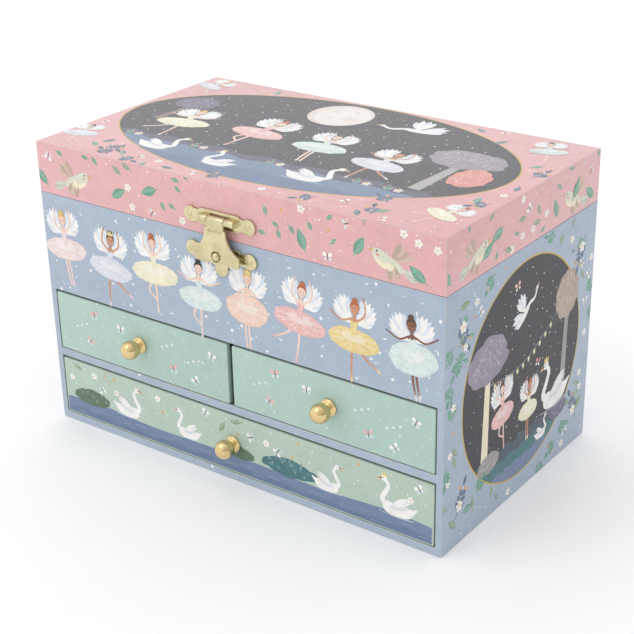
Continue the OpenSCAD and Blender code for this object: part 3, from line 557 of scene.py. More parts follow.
class BALLEBOX_OT_stage(bpy.types.Operator):
    """Plain pale floor, soft studio light and the camera"""
    bl_idname = "ballebox.stage"
    bl_label = "Stage"

    def execute(self, context):
        look = settings().stage
        deselect_all()
        bpy.ops.mesh.primitive_plane_add(size=12)
        floor = bpy.context.active_object
        floor.name = "floor"
        material, w, shader = new_material(
            "floor_white", Roughness=0.7, Emission_Color=(1, 1, 1, 1), Emission_Strength=0.12)
        tone = w.noise(w.place(), 40.0, 2.0).outputs["Fac"]
        low = tuple(0.985 * c for c in look.floor)
        w.feed(shader, "Base Color", w.mix(tone, (*low, 1), (*look.floor, 1)))
        dress(floor, material)

        world = bpy.data.worlds.new("white_room")
        world.use_nodes = True
        sky = world.node_tree.nodes["Background"]
        sky.inputs["Color"].default_value = (1, 1, 1, 1)
        w = Wiring(world.node_tree)
        facing = w.node("VectorMath", {
            0: w.node("TexCoord").outputs["Generated"], 1: DIM_SIDE},
            operation="DOT_PRODUCT").outputs["Value"]
        w.feed(sky, "Strength", w.ranged(facing, 0.0, 0.9, look.surround, look.surround * 0.5))
        context.scene.world = world
        context.scene.view_settings.view_transform = "Standard"

        centre = Vector((0, 0, 0.07))
        for name, way, size, power in (
                ("key", Vector((-0.9, -1.5, 2.0)), 1.4, look.key_power),
                ("back", Vector((-1.2, 1.6, 1.2)), 1.4, look.key_power * 0.25)):
            deselect_all()
            bpy.ops.object.light_add(type="AREA", location=centre + way)
            lamp = bpy.context.active_object
            lamp.name = name
            lamp.data.size = size
            lamp.data.energy = power
            lamp.rotation_mode = "QUATERNION"
            lamp.rotation_quaternion = (-way).to_track_quat("-Z", "Y")

        deselect_all()
        bpy.ops.object.camera_add(location=CAMERA_PLACE)
        camera = bpy.context.active_object
        camera.data.lens = look.lens
        camera.data.sensor_width = 36
        camera.data.clip_start = 0.01
        around, above, roll = (radians(x) for x in CAMERA_AIM)
        right = Vector((cos(around), sin(around), 0))
        back = Vector((sin(around) * cos(above), -cos(around) * cos(above), sin(above)))
        up = back.cross(right)
        across = cos(roll) * right + sin(roll) * up
        over = -sin(roll) * right + cos(roll) * up
        turn = Matrix((across, over, back)).transposed()
        camera.rotation_mode = "QUATERNION"
        camera.rotation_quaternion = turn.to_quaternion()
        context.scene.camera = camera
        return {"FINISHED"}


DIM_SIDE = (0.9, -0.25, -0.1)  # the way to the dimmer side of the room
CAMERA_PLACE = (0.3759, -0.5032, 0.3485)
CAMERA_AIM = (36.74, 24.76, -1.241)  # round the box, above the horizon and roll, in degrees


# Papered boards

def papers():
    look = settings().papers
    gloss = look.gloss
    printed = {"blotch": 0.2, "streak": 0.3, "wear": 0, "from_inks": True}
    return {
        "blue": made_once(paper, "case_paper", look.blue, gloss, dots=0.1, dot_share=0.55),
        "pink": made_once(paper, "lid_paper", look.pink, gloss, blotch=0.2, dots=0.06, dot_share=0.25,
            dot_colour=(0.95, 0.8, 0.78, 1), varnish=0.35),
        "mint": made_once(paper, "drawer_paper", look.mint, gloss, dots=0.085, dot_share=0.5,
            dot_colour=(0.8, 0.86, 0.8, 1)),
        "sage": made_once(paper, "bottom_paper", look.sage, gloss, dots=0.06, dot_share=0.4,
            dot_colour=(0.85, 0.86, 0.7, 1)),
        "lining": made_once(paper, "bay_paper", look.lining, 0.6, wear=0.3),
        "inks": made_once(paper, "printed_inks", None, gloss, **printed),
        "varnished": made_once(paper, "varnished_inks", None, gloss, varnish=0.35, **printed),
    }


class BALLEBOX_OT_case(bpy.types.Operator):
    """The papered case with its three drawer bays and its top compartment"""
    bl_idname = "ballebox.case"
    bl_label = "Case"

    def execute(self, context):
        look, sheets = settings().papers, papers()
        inward = Vector((PAPER_IN, PAPER_IN, 0))
        case = add_block("case_shell", CASE_LOW + inward, Vector((HALF_W, HALF_D, CASE_TOP)) - inward)
        front = CASE_LOW.y - PAST
        upper, lower = SHELF[1].z, BASE_TOP
        carve(case, (-INNER_X, front, lower), (INNER_X, INNER_BACK, SHELF[0].z))
        carve(case, (-INNER_X, front, upper), (INNER_X, INNER_BACK, FLOOR[0].z))
        carve(case, (-INNER_X, INNER_FRONT, FLOOR[1].z), (INNER_X, INNER_BACK, CASE_TOP + PAST))
        arbor_low, arbor_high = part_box("winding_arbor")
        arbor = (arbor_low + arbor_high) / 2
        room = 0.4 * MM  # round the arbor, in its hole
        cut(case, fresh(
            bpy.ops.mesh.primitive_cylinder_add, vertices=48, radius=(arbor_high.z - arbor_low.z) / 2 + room,
            depth=2 * PAST, location=(arbor.x, HALF_D, arbor.z), rotation=(pi / 2, 0, 0)))
        dress(case, sheets["blue"], sheets["lining"])
        for face in case.data.polygons:
            deep = CASE_LOW.y + MM < face.center.y < INNER_BACK + SLACK
            within = abs(face.center.x) < INNER_X + SLACK
            level = lower - SLACK < face.center.z < FLOOR[0].z + SLACK
            face.material_index = 1 if deep and within and level else 0
        round_boards(case, look.edge_radius, CASE_TOP)
        mark_wear(smooth(case))
        place(case, "case", "blue_paper", [
            "base_panel", "left_wall", "right_wall", "back_wall", "front_wall",
            "drawer_shelf", "compartment_floor"])
        return {"FINISHED"}


class BALLEBOX_OT_lid(bpy.types.Operator):
    """The papered lid"""
    bl_idname = "ballebox.lid"
    bl_label = "Lid"

    def execute(self, context):
        look, sheets = settings().papers, papers()
        low = Vector((-HALF_W, -HALF_D, LID_WALL[0].z))
        high = Vector((HALF_W, HALF_D, LID_TOP[1].z))
        lid = add_block("lid_shell", low + Vector((PAPER_IN, PAPER_IN, 0)), high - Vector((PAPER_IN,) * 3))
        wall = LID_WALL[1].x - LID_WALL[0].x
        carve(lid, (-HALF_W + wall, -HALF_D + wall, low.z - PAST),
                (HALF_W - wall, HALF_D - wall, LID_TOP[0].z))
        dress(lid, sheets["pink"])
        round_boards(lid, look.edge_radius, low.z)
        mark_wear(smooth(lid))
        place(lid, "lid", "pink_paper",
              ["lid_top_panel", "lid_front_wall", "lid_back_wall", "lid_left_wall", "lid_right_wall"])
        return {"FINISHED"}


class BALLEBOX_OT_drawers(bpy.types.Operator):
    """The three papered drawer fronts"""
    bl_idname = "ballebox.drawers"
    bl_label = "Drawer fronts"

    def execute(self, context):
        look, sheets = settings().papers, papers()
        for side, sheet in (("left", "mint"), ("right", "mint"), ("bottom", "sage")):
            low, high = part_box(f"{side}_drawer_front")
            front = add_block(f"{side}_front_board", low + Vector((0, PAPER_IN, 0)), high)
            dress(front, sheets[sheet])
            round_edges(front, look.edge_radius * 0.8)
            mark_wear(smooth(front))
            place(front, f"{side}_drawer", "green_paper", [f"{side}_drawer_front"])
        return {"FINISHED"}


# Printed pictures: inks and pens

# Inks, as screen colours from 0 to 1
INKS = {
    "white": (0.96, 0.95, 0.94), "ice": (0.86, 0.89, 0.93), "mist": (0.66, 0.72, 0.80),
    "cream": (0.94, 0.90, 0.79),
    "blush": (0.93, 0.86, 0.85), "rose": (0.92, 0.73, 0.72), "coral": (0.87, 0.58, 0.54),
    "peach": (0.94, 0.82, 0.75),
    "lemon": (0.94, 0.92, 0.80), "butter": (0.92, 0.83, 0.56), "gold": (0.80, 0.68, 0.32),
    "amber": (0.87, 0.68, 0.48),
    "lilac": (0.86, 0.87, 0.91), "plum": (0.55, 0.50, 0.62), "mint": (0.84, 0.90, 0.89),
    "jade": (0.40, 0.62, 0.53),
    "teal": (0.27, 0.46, 0.48), "slate": (0.33, 0.42, 0.52), "sage": (0.52, 0.62, 0.50),
    "moss": (0.36, 0.45, 0.36),
    "lake": (0.45, 0.52, 0.64), "deep": (0.37, 0.44, 0.57), "night": (0.20, 0.195, 0.225),
    "dusk": (0.28, 0.29, 0.36),
    "taupe": (0.62, 0.54, 0.48), "bark": (0.55, 0.46, 0.42), "ash": (0.62, 0.60, 0.60),
    "brown": (0.35, 0.24, 0.20),
    "ginger": (0.72, 0.40, 0.22), "blond": (0.88, 0.72, 0.42), "black": (0.13, 0.12, 0.13),
    "fair": (0.94, 0.82, 0.76), "tan": (0.80, 0.58, 0.45), "umber": (0.52, 0.34, 0.26),
    "pearl": (0.88, 0.84, 0.82),
}


def linear(colour):
    """A screen colour as light, by the sRGB rule."""
    return tuple(c / 12.92 if c <= 0.04045 else ((c + 0.055) / 1.055) ** 2.4 for c in colour)


def between(a, b, share):
    """An ink between two others."""
    return tuple(x + (y - x) * share for x, y in zip(INKS.get(a, a), INKS.get(b, b)))


def curve(points, steps=6, closed=False):
    """A smooth line through the points."""
    count = len(points)
    found = []
    for i in range(count if closed else count - 1):
        p = [points[(i + k) % count] if closed else points[min(max(i + k, 0), count - 1)]
                for k in (-1, 0, 1, 2)]
        for s in range(steps):
            t = s / steps
            found.append(tuple(
                0.5 * (2 * b + (c - a) * t + (2 * a - 5 * b + 4 * c - d) * t * t + (3 * b - a - 3 * c + d)
                        * t ** 3)
                for a, b, c, d in zip(*p)))
    return found if closed else [*found, tuple(points[-1])]


def trimmed(outline, axis, edge, side):
    """The part of an outline on one side of a straight edge."""
    kept = []
    for a, b in zip(outline, outline[1:] + outline[:1]):
        da, db = side * (a[axis] - edge), side * (b[axis] - edge)
        if da >= 0:
            kept.append(a)
        if da * db < 0:
            share = da / (da - db)
            kept.append(tuple(x + (y - x) * share for x, y in zip(a, b)))
    return kept


class Sheet:
    """The inks on one face, trimmed to it. Each outline lies just above those it covers, like printing."""

    def __init__(self, where, limits):
        self.where = where  # (u, v, lift) in mm to a point in metres
        self.limits = limits  # lowest and highest u, then v
        self.outlines, self.boxes, self.levels = [], [], []

    def lay(self, outline, ink):
        for axis, edge, side in zip((0, 0, 1, 1), self.limits, (1, -1, 1, -1)):
            outline = trimmed(outline, axis, edge, side)
        turned = sum(a[0] * b[1] - b[0] * a[1] for a, b in zip(outline, outline[1:] + outline[:1]))
        if abs(turned) < 1e-4:
            return
        us, vs = [p[0] for p in outline], [p[1] for p in outline]
        box = (min(us), max(us), min(vs), max(vs))
        under = [level for level, b in zip(self.levels, self.boxes)
                if b[0] < box[1] and box[0] < b[1] and b[2] < box[3] and box[2] < b[3]]
        self.outlines.append((outline if turned > 0 else outline[::-1], INKS.get(ink, ink)))
        self.boxes.append(box)
        self.levels.append(max(under, default=-1) + 1)

    def build(self, name, body, slot, material):
        step = min(INK_STEP, (PAPER_IN - 2 * INK_START) / (max(self.levels) + 1))
        places, faces, colours = [], [], []
        for (outline, ink), level in zip(self.outlines, self.levels):
            lift = (INK_START + step * level) / MM
            faces.append(range(len(places), len(places) + len(outline)))
            places.extend(self.where(u, v, lift) for u, v in outline)
            colours.extend([(*linear(ink), 1)] * len(outline))
        mesh = bpy.data.meshes.new(name)
        mesh.from_pydata(places, [], faces)
        mesh.attributes.new("Ink", "FLOAT_COLOR", "CORNER").data.foreach_set(
            "color", [c for colour in colours for c in colour])
        return place(dress(linked(name, mesh), material), body, slot)


class Pen:
    """Lays shapes on a sheet from its own place, at its own size and turn. Lengths are in mm."""

    def __init__(self, sheet, origin=(0, 0), across=(1, 0), up=(0, 1)):
        self.sheet, self.origin, self.across, self.up = sheet, origin, across, up

    def way(self, u, v):
        return (u * self.across[0] + v * self.up[0], u * self.across[1] + v * self.up[1])

    def point(self, u, v):
        du, dv = self.way(u, v)
        return (self.origin[0] + du, self.origin[1] + dv)

    def at(self, u, v, size=1.0, turn=0.0, flip=1):
        c, s = (part * size for part in aim(turn))
        return Pen(self.sheet, self.point(u, v), self.way(c * flip, s * flip), self.way(-s, c))

    def fill(self, outline, ink):
        self.sheet.lay([self.point(*p) for p in outline], ink)

    def spun(self, u, v, ring, turn, ink):
        """Fills a ring of points that is turned, with its middle at (u, v)."""
        c, s = aim(turn)
        self.fill([(u + x * c - y * s, v + x * s + y * c) for x, y in ring], ink)

    def blob(self, points, ink, steps=3):
        """A smooth closed shape through the points."""
        self.fill(curve(points, steps, closed=True), ink)

    def oval(self, u, v, ru, rv, ink, turn=0.0, sides=18):
        ring = [(ru * cos(TURN * i / sides), rv * sin(TURN * i / sides)) for i in range(sides)]
        self.spun(u, v, ring, turn, ink)

    def petal(self, u, v, reach, width, turn, ink, fat=0.5, sides=6):
        """A leaf or feather from its foot at (u, v); fat is where along it is widest."""
        power = log(0.5) / log(fat)
        rim = [(t / sides, 0.5 * width * sin(pi * (t / sides) ** power)) for t in range(sides + 1)]
        line = [(x * reach, y) for x, y in rim] + [(x * reach, -y) for x, y in rim[-2:0:-1]]
        self.spun(u, v, line, turn, ink)

    def stroke(self, points, ink, start, end=None, steps=4):
        """A brush stroke through the points, from one width to another."""
        end = start if end is None else end
        line = curve(points, steps) if len(points) > 2 else list(points)
        left, right = [], []
        for i, (u, v) in enumerate(line):
            a, b = line[max(i - 1, 0)], line[min(i + 1, len(line) - 1)]
            along = hypot(b[0] - a[0], b[1] - a[1]) or 1
            half = 0.5 * (start + (end - start) * i / (len(line) - 1))
            nu, nv = -(b[1] - a[1]) / along * half, (b[0] - a[0]) / along * half
            left.append((u + nu, v + nv))
            right.append((u - nu, v - nv))
        self.fill(left + right[::-1], ink)

    def frill(self, u, v, ru, rv, waves, depth, ink, turn=0.0, seed=1):
        """An oval with a wavy rim."""
        lots = random.Random(seed)
        tall = [1 + lots.uniform(-0.5, 0.5) * depth for _ in range(waves)]
        ring = []
        for i in range(waves * 4):
            angle, wave = TURN * i / (waves * 4), i // 4
            lift = tall[wave] + depth * (0.5 * sin(pi * (i % 4) / 4) - 0.3)
            ring.append((ru * lift * cos(angle), rv * lift * sin(angle)))
        self.spun(u, v, ring, turn, ink)


# Printed pictures: motifs

def draw_dancer(pen, dress_ink, hair, skin="fair", arms="up", leg="both", wings=True, crown=False, plump=1.0,
        tutu=12.8, seed=1):
    """A winged dancer, with the middle of the tutu at the pen; about 40 mm tall with arms up, at size 1."""
    light, dark = between(dress_ink, "white", 0.5), between(dress_ink, "plum", 0.07)
    if wings:
        for side in (-1, 1):
            for k in range(8):
                lean = 14 + 10.5 * k
                turn = lean if side > 0 else 180 - lean
                reach = 6.6 + 4.9 * sin(pi * (k + 1) / 10) + 0.42 * k
                pen.petal(side * (1.3 + 0.22 * k), 7.0, reach, 2.5, turn, "ice" if k % 3 == 1 else "white",
                        0.7)
            for k in range(6):
                lean = 20 + 12 * k
                turn = lean if side > 0 else 180 - lean
                pen.petal(side * 1.5, 7.2, 5.8, 1.9, turn, "white", 0.62)
                c, s = aim(turn)
                pen.stroke([(side * 1.5, 7.2), (side * 1.4 + 5.2 * c, 7.2 + 5.2 * s)], "ice", 0.2)
    shoe = between(dress_ink, "rose", 0.35)
    feet = {
        "both": [[(0.9, -2), (1.1, -10), (2.0, -17.5)], [(-0.9, -2), (-0.8, -10), (0.2, -17.5)]],
        "right": [[(-0.5, -2), (-0.6, -11), (-0.2, -18.5)], [(1, -2), (7, -7.4), (13.0, -10.5)]],
        "bent": [[(0.3, -2), (0.2, -11), (0.2, -18.5)], [(-0.8, -2), (-4.2, -9.0), (-0.8, -12.5)]],
        "left": [[(0.5, -2), (0.6, -11), (0.2, -18.5)], [(-1, -2), (-6.5, -8.0), (-12.0, -11.5)]],
    }[leg]
    for line in feet:
        pen.stroke(line, skin, 1.4, 0.75)
        (u0, v0), (u1, v1) = line[-2], line[-1]
        along = hypot(u1 - u0, v1 - v0)
        du, dv = (u1 - u0) / along, (v1 - v0) / along
        pen.petal(u1 - 1.2 * du, v1 - 1.2 * dv, 3.2, 1.3, degrees(atan2(dv, du)), shoe, 0.35)
        for back in (1.4, 2.5):
            u, v = u1 - back * du, v1 - back * dv
            pen.stroke([(u + 0.55 * dv, v - 0.55 * du), (u - 0.55 * dv, v + 0.55 * du)], shoe, 0.24)
    pen.frill(0, -0.5, tutu, 5.4 * plump, 17, 0.07, dark, seed=seed)
    pen.frill(0, 0, tutu, 5.2 * plump, 16, 0.07, dress_ink, seed=seed + 1)
    for k in range(24):
        c, s = aim(15 * k + 5)
        tip = 0.95 if k % 2 else 0.82
        pen.stroke([(3.0 * c, 0.6 + 1.4 * s), (tutu * tip * c, 5.3 * tip * plump * s)],
                light if k % 3 else between(dress_ink, "plum", 0.06), 0.2, 0.6)
    pen.frill(0, 1.3, tutu * 0.5, 2.3 * plump, 11, 0.12, light, seed=seed + 2)
    pen.fill([(-1.5, 2.0), (-1.3, 4.6), (-2.0, 8.2), (-1.0, 8.8), (0, 8.0), (1.0, 8.8), (2.0, 8.2),
            (1.3, 4.6),
            (1.5, 2.0)], dress_ink)
    pen.stroke([(-0.6, 2.4), (-0.4, 5), (-0.8, 7.9)], dark, 0.22)
    pen.stroke([(0.6, 2.4), (0.4, 5), (0.8, 7.9)], light, 0.28)
    pen.fill([(-2.0, 8.2), (-2.1, 9.7), (-0.6, 10.4), (0.6, 10.4), (2.1, 9.7), (2.0, 8.2), (1.0, 8.8),
            (0, 8.1),
            (-1.0, 8.8)], skin)
    pen.stroke([(0, 9.7), (0, 12.4)], skin, 1.15)
    raised = [(1.9, 9.4), (5.0, 12.4), (4.9, 17.4), (3.4, 20.6)]
    reach = {
        "up": raised, "one": raised,
        "wide": [(1.9, 9.4), (6.0, 7.6), (10.0, 9.2), (12.6, 10.8)],
        "low": [(1.9, 9.4), (5.2, 6.4), (5.0, 3.4), (2.2, 2.4)],
    }
    for side in (-1, 1):
        line = reach["wide" if arms == "one" and side < 0 else arms]
        pen.stroke([(side * u, v) for u, v in line], skin, 0.95, 0.5)
    pen.oval(0, 14.4, 2.2, 2.6, skin)
    cap = [(-2.35, 14.0), (-2.35, 15.7), (-1.5, 17.1), (0, 17.5), (1.5, 17.1), (2.35, 15.7), (2.35, 14.0),
            (1.7, 15.5),
           (0.6, 16.1), (-0.9, 16.0), (-1.8, 15.3)]
    pen.blob(cap, hair)
    pen.oval(0, 18.0, 1.45, 1.25, hair)
    pen.stroke([(-0.9, 17.9), (0, 18.5), (0.9, 17.9)], between(hair, "white", 0.25), 0.22)
    for side in (-1, 1):
        pen.stroke([(side * 0.5, 14.4), (side * 0.9, 14.2), (side * 1.3, 14.45)], "brown", 0.2, steps=2)
        pen.oval(side * 1.3, 13.5, 0.5, 0.4, between(skin, "coral", 0.4), sides=8)
    pen.stroke([(-0.4, 13.0), (0, 12.8), (0.4, 13.0)], "coral", 0.22, steps=2)
    if crown:
        pen.fill([(-1.6, 16.6), (-1.9, 18.9), (-0.9, 17.7), (0, 19.5), (0.9, 17.7), (1.9, 18.9), (1.6, 16.6)],
                "butter")


def draw_swan(pen, crown=False, ink="white"):
    """A swimming swan that faces right; its body is about 22 mm long at size 1."""
    shade_ink = between(ink, "mist", 0.35)
    pen.stroke([(-10, -4.2), (-3, -4.9), (6, -4.8), (12, -4.0)], "ice", 0.4, 0.2)
    neck = [(6.0, 0.0), (9.4, 3.6), (7.2, 8.4), (5.6, 12.6), (7.6, 15.6)]
    pen.blob([(-12.4, 3.4), (-8.5, 2.6), (-3, 3.8), (2.5, 3.0), (7.2, 3.2), (9.0, -0.6), (6.6, -3.8),
            (0, -4.6),
            (-7, -3.6), (-10.2, 0)], ink, 4)
    pen.stroke(neck, ink, 3.4, 1.9, steps=5)
    for k, (u, v, reach, turn) in enumerate((
            (4.6, -1.4, 11.5, 176), (4.8, 0.0, 13.0, 168), (4.6, 1.4, 14.0, 160), (3.4, 2.0, 13.4, 152),
            (2.2, 2.2, 11.0, 145))):
        pen.petal(u, v, reach, 3.4, turn, shade_ink if k % 2 else ink, 0.45)
        c, s = aim(turn)
        pen.stroke([(u - 1, v + 0.2), (u + c * reach * 0.8, v + s * reach * 0.8)], shade_ink, 0.22)
    pen.oval(8.4, 16.2, 2.1, 1.7, ink, turn=-12)
    pen.petal(9.8, 16.1, 3.6, 1.5, -20, "amber", 0.3)
    pen.petal(9.4, 16.3, 1.8, 0.9, -20, "black", 0.4)
    pen.oval(8.8, 16.6, 0.32, 0.32, "black", sides=8)
    if crown:
        pen.fill([(6.7, 17.2), (6.1, 19.6), (7.3, 18.5), (8.1, 20.2), (8.9, 18.6), (10.0, 19.6), (9.5, 17.4)],
                "butter")


def draw_flying_swan(pen):
    """A swan in flight to the left, about 26 mm across at size 1."""
    pen.stroke([(3, 0), (-4, 0.6), (-9, -1.4), (-13.4, 0.8)], "white", 2.6, 1.1)
    for lean, reach, ink in ((118, 11, "ice"), (104, 12.5, "white"), (90, 12.5, "ice"), (76, 11.5, "white")):
        pen.petal(1.0, 0.6, reach, 3.2, lean, ink, 0.6)
    for lean, reach, ink in ((42, 12, "ice"), (28, 13, "white"), (14, 12, "ice"), (0, 10, "white")):
        pen.petal(1.0, 0.0, reach, 3.0, lean, ink, 0.6)
    pen.blob([(-5, 1.3), (0, 2.0), (5, 1.0), (10.5, 1.6), (10.0, -0.6), (4, -1.8), (-2, -1.2)], "white")
    pen.stroke([(-2, 0.2), (3, 0.0), (7, 0.3)], "ice", 0.3)
    pen.oval(-13.6, 0.9, 1.2, 0.95, "white", sides=12)
    pen.petal(-14.4, 0.9, 2.4, 0.9, 172, "amber", 0.3)


def draw_bird(pen):
    """A little songbird that flies to the right, about 24 mm long at size 1."""
    fawn, tail = between("peach", "taupe", 0.34), between("sage", "white", 0.62)
    for turn, reach in ((197, 10), (188, 11.5), (178, 10.5)):
        pen.petal(-5.5, -0.6, reach, 2.2, turn, tail if turn != 188 else between(tail, "taupe", 0.3), 0.6)
    for k, turn in enumerate((150, 136, 122, 108)):
        pen.petal(-1.0, 1.2, 11.5 - k * 0.4, 3.0, turn, between("taupe", "peach", 0.4) if k % 2 else fawn,
                0.6)
    pen.blob([(-8.5, -0.8), (-4, 1.9), (1.5, 3.2), (5.5, 4.2), (8.6, 3.2), (9.0, 1.0), (6.2, -2.0), (1, -3.8),
            (-4.5, -3.2)], between(tail, "cream", 0.4), 4)
    pen.blob([(-4, -2.6), (1, -1.6), (6.4, -0.6), (7.4, -1.0), (5.4, -2.6), (1, -3.8)], "cream")
    for k, turn in enumerate((215, 232, 250)):
        pen.petal(0.6, 0.6, 9.5, 3.0, turn, fawn if k % 2 else between("taupe", "peach", 0.4), 0.6)
    for turn in (215, 232, 250):
        pen.petal(0.6, 0.6, 5.0, 1.8, turn, "cream", 0.6)
    pen.petal(8.3, 2.2, 3.0, 1.5, -8, "amber", 0.3)
    pen.oval(6.6, 2.7, 0.5, 0.5, "black", sides=8)
    pen.oval(5.9, 1.1, 0.9, 0.6, "coral", sides=10)


def draw_leaf(pen, ink, reach=9.0, width=4.0):
    """One leaf on a short stem, pointing up from the pen, with a lighter half and a midrib."""
    pen.stroke([(0, -1.0), (0.1, 0.4)], ink, 0.4, 0.3)
    pen.petal(0, 0, reach, width, 90, ink, 0.45)
    half = [(0, 0.2)] + [(0.42 * width * sin(pi * t / 6), reach * t / 6) for t in range(1, 6)] + [(0, reach)]
    pen.fill(half, between(ink, "white", 0.16))
    pen.stroke([(0, 0), (0, reach * 0.9)], between(ink, "white", 0.42), 0.3, 0.15)
    for t in (0.28, 0.46, 0.64):
        for side in (-1, 1):
            pen.stroke([(0, reach * t), (side * width * 0.3, reach * (t + 0.13))],
                    between(ink, "white", 0.35), 0.2, 0.1)


def draw_sprig(pen, ink, pairs=3, reach=13.0, bloom=None):
    """A stem with paired leaves."""
    pen.stroke([(0, 0), (0.6, reach * 0.5), (0, reach)], ink, 0.5, 0.3)
    for k in range(pairs):
        v = reach * (0.25 + 0.6 * k / pairs)
        for side in (-1, 1):
            turn = 90 - side * 48
            pen.petal(0.3, v, 4.6 - 0.5 * k, 2.1, turn, ink, 0.5)
            pen.petal(0.3, v, 3.4 - 0.4 * k, 0.7, turn, between(ink, "white", 0.3), 0.5)
    pen.petal(0, reach * 0.92, 4.4, 2.0, 92, ink, 0.5)
    if bloom:
        for side in (-1, 1):
            pen.oval(side * 2.4, reach * 0.86, 0.9, 0.9, bloom, sides=10)


def draw_butterfly(pen, ink="coral", second="white"):
    for side in (-1, 1):
        pen.petal(side * 0.1, 0.1, 3.0, 2.0, 90 - side * 48, ink, 0.66)
        pen.petal(side * 0.1, -0.1, 2.2, 1.5, 90 - side * 122, second, 0.66)
        pen.stroke([(0, 0.8), (side * 0.5, 2.1)], "brown", 0.16, 0.1)
    pen.petal(0, -1.3, 2.6, 0.5, 90, "brown", 0.5)


def draw_flower(pen, ink="white", heart="butter", petals=5):
    for k in range(petals):
        pen.petal(0, 0, 2.3, 1.6, 90 + 360 * k / petals, ink, 0.6)
    pen.oval(0, 0, 0.6, 0.6, heart, sides=8)


def draw_bush(pen, ink, ru=8.0, rv=5.0, seed=3):
    """A rounded bush with painted leaves."""
    lots = random.Random(seed)
    pen.frill(0, 0, ru, rv, 10, 0.14, ink, seed=seed)
    for _ in range(int(5 * ru * rv / 14)):
        a, d = lots.uniform(0, TURN), sqrt(lots.uniform(0, 0.9))
        tone = between(ink, "white", lots.choice((0.14, 0.24, 0.34)))
        pen.petal(ru * 0.85 * d * cos(a), rv * 0.85 * d * sin(a), 2.4, 1.1, lots.uniform(40, 140), tone, 0.5)


def draw_tree(pen, leaf_ink, bark, ru, rv, trunk, width=4.0, seed=5):
    """A round tree: the pen is at the middle of its crown, and trunk is how far down the trunk reaches."""
    pen.stroke([(1.5, rv * 0.2), (0.2, -rv), (-0.4, -rv - 0.5 * (trunk - rv)), (-1.0, -trunk)], bark,
            width * 0.7, width * 1.25)
    pen.stroke([(0.6, -rv - 2), (-3.5, -rv * 0.4), (-ru * 0.5, rv * 0.2)], bark, width * 0.5, 0.5)
    pen.stroke([(0.9, -rv - 1), (4.5, -rv * 0.5), (ru * 0.5, rv * 0.1)], bark, width * 0.5, 0.5)
    draw_bush(pen, leaf_ink, ru, rv, seed)
    for k in range(4):
        v = -rv - (trunk - rv) * (0.2 + 0.2 * k)
        pen.stroke([(-0.6, v), (0.4, v - 2.5)], between(bark, "white", 0.3), 0.3, 0.15)


def draw_moon(pen, r):
    pen.oval(0, 0, r, r, "pearl", sides=40)
    pen.oval(0.1 * r, -0.05 * r, 0.86 * r, 0.88 * r, between("pearl", "white", 0.5), sides=32)
    for u, v, s in ((-0.35, 0.3, 0.16), (0.3, 0.42, 0.1), (0.42, -0.2, 0.2), (-0.2, -0.35, 0.12),
            (-0.5, -0.1, 0.09)):
        pen.oval(u * r, v * r, s * r, s * r * 0.85, between("pearl", "blush", 0.3), sides=14)


def scatter(box, gap, busy, seed, tries=900):
    """Places for small motifs, apart from each other and from the busy spots, as (u, v, turn, lot)."""
    lots = random.Random(seed)
    busy = list(busy)
    found = []
    for _ in range(tries):
        u, v = lots.uniform(box[0], box[1]), lots.uniform(box[2], box[3])
        if all(hypot(u - bu, v - bv) > gap + br for bu, bv, br in busy):
            busy.append((u, v, 0))
            found.append((u, v, lots.uniform(0, 360), lots.random()))
    return found


def small_motifs(pen, box, gap, busy, seed, kinds):
    for u, v, turn, lot in scatter(box, gap, busy, seed):
        kind = kinds[int(lot * len(kinds))]
        spot = pen.at(u, v, 0.85 + 0.3 * lot, turn)
        if kind == "leaf":
            draw_leaf(spot, "jade" if lot < 0.7 else "teal", 4.6, 2.3)
        elif kind == "sage":
            draw_leaf(spot, "sage", 5.6, 2.3)
        elif kind == "sprig":
            draw_sprig(spot, "jade", 2, 7.0)
        elif kind == "flower":
            draw_flower(spot)
        elif kind == "butterfly":
            draw_butterfly(spot, "white" if lot < 0.5 else "rose", "ice")
        elif kind == "berry":
            spot.oval(0, 0, 0.8, 0.8, "amber", sides=10)
        elif kind == "star":
            for k in range(4):
                spot.petal(0, 0, 1.5, 0.6, 90 * k, "cream", 0.35)
        else:
            spot.oval(0, 0, 0.45, 0.45, "white", sides=8)


def glows(pen, box, gap, seed):
    """Soft white lights, each a bright spot in a paler one, and a few short strokes."""
    for u, v, turn, lot in scatter(box, gap, (), seed, tries=500):
        if lot < 0.7:
            pen.oval(u, v, 1.0 + 0.4 * lot, 1.0 + 0.4 * lot, "mist", sides=12)
            pen.oval(u, v, 0.55 + 0.4 * lot, 0.55 + 0.4 * lot, "white", sides=12)
        else:
            pen.petal(u, v, 2.6, 0.7, turn, "white", 0.5)


def dots(pen, box, gap, seed, inks=("white",), sizes=(0.25, 0.5), keep=None):
    for u, v, turn, lot in scatter(box, gap, (), seed, tries=700):
        if keep is None or keep(u, v):
            r = sizes[0] + (sizes[1] - sizes[0]) * lot
            pen.oval(u, v, r, r, inks[int(turn) % len(inks)], sides=8)


# Printed pictures: faces

FRONT_DANCERS = (  # head u and v, dress, hair, skin, arms, leg, crown, tutu half-width
    (-98.6, 94.7, "blush", "blond", "fair", "up", "both", False, 13.2),
    (-70, 91.1, "lilac", "black", "tan", "up", "right", True, 13.2),
    (-42.1, 95.4, "lemon", "ginger", "fair", "up", "bent", False, 13.5),
    (-15.4, 89.4, "mint", "black", "fair", "wide", "bent", False, 12.2),
    (11.6, 90.8, "peach", "blond", "fair", "low", "both", True, 11.5),
    (40.0, 92.2, "rose", "ginger", "fair", "up", "left", False, 13.5),
    (68.0, 91.1, "butter", "ginger", "tan", "one", "right", False, 12.5),
    (97.4, 90.6, "mint", "brown", "umber", "wide", "both", False, 11.7),
)


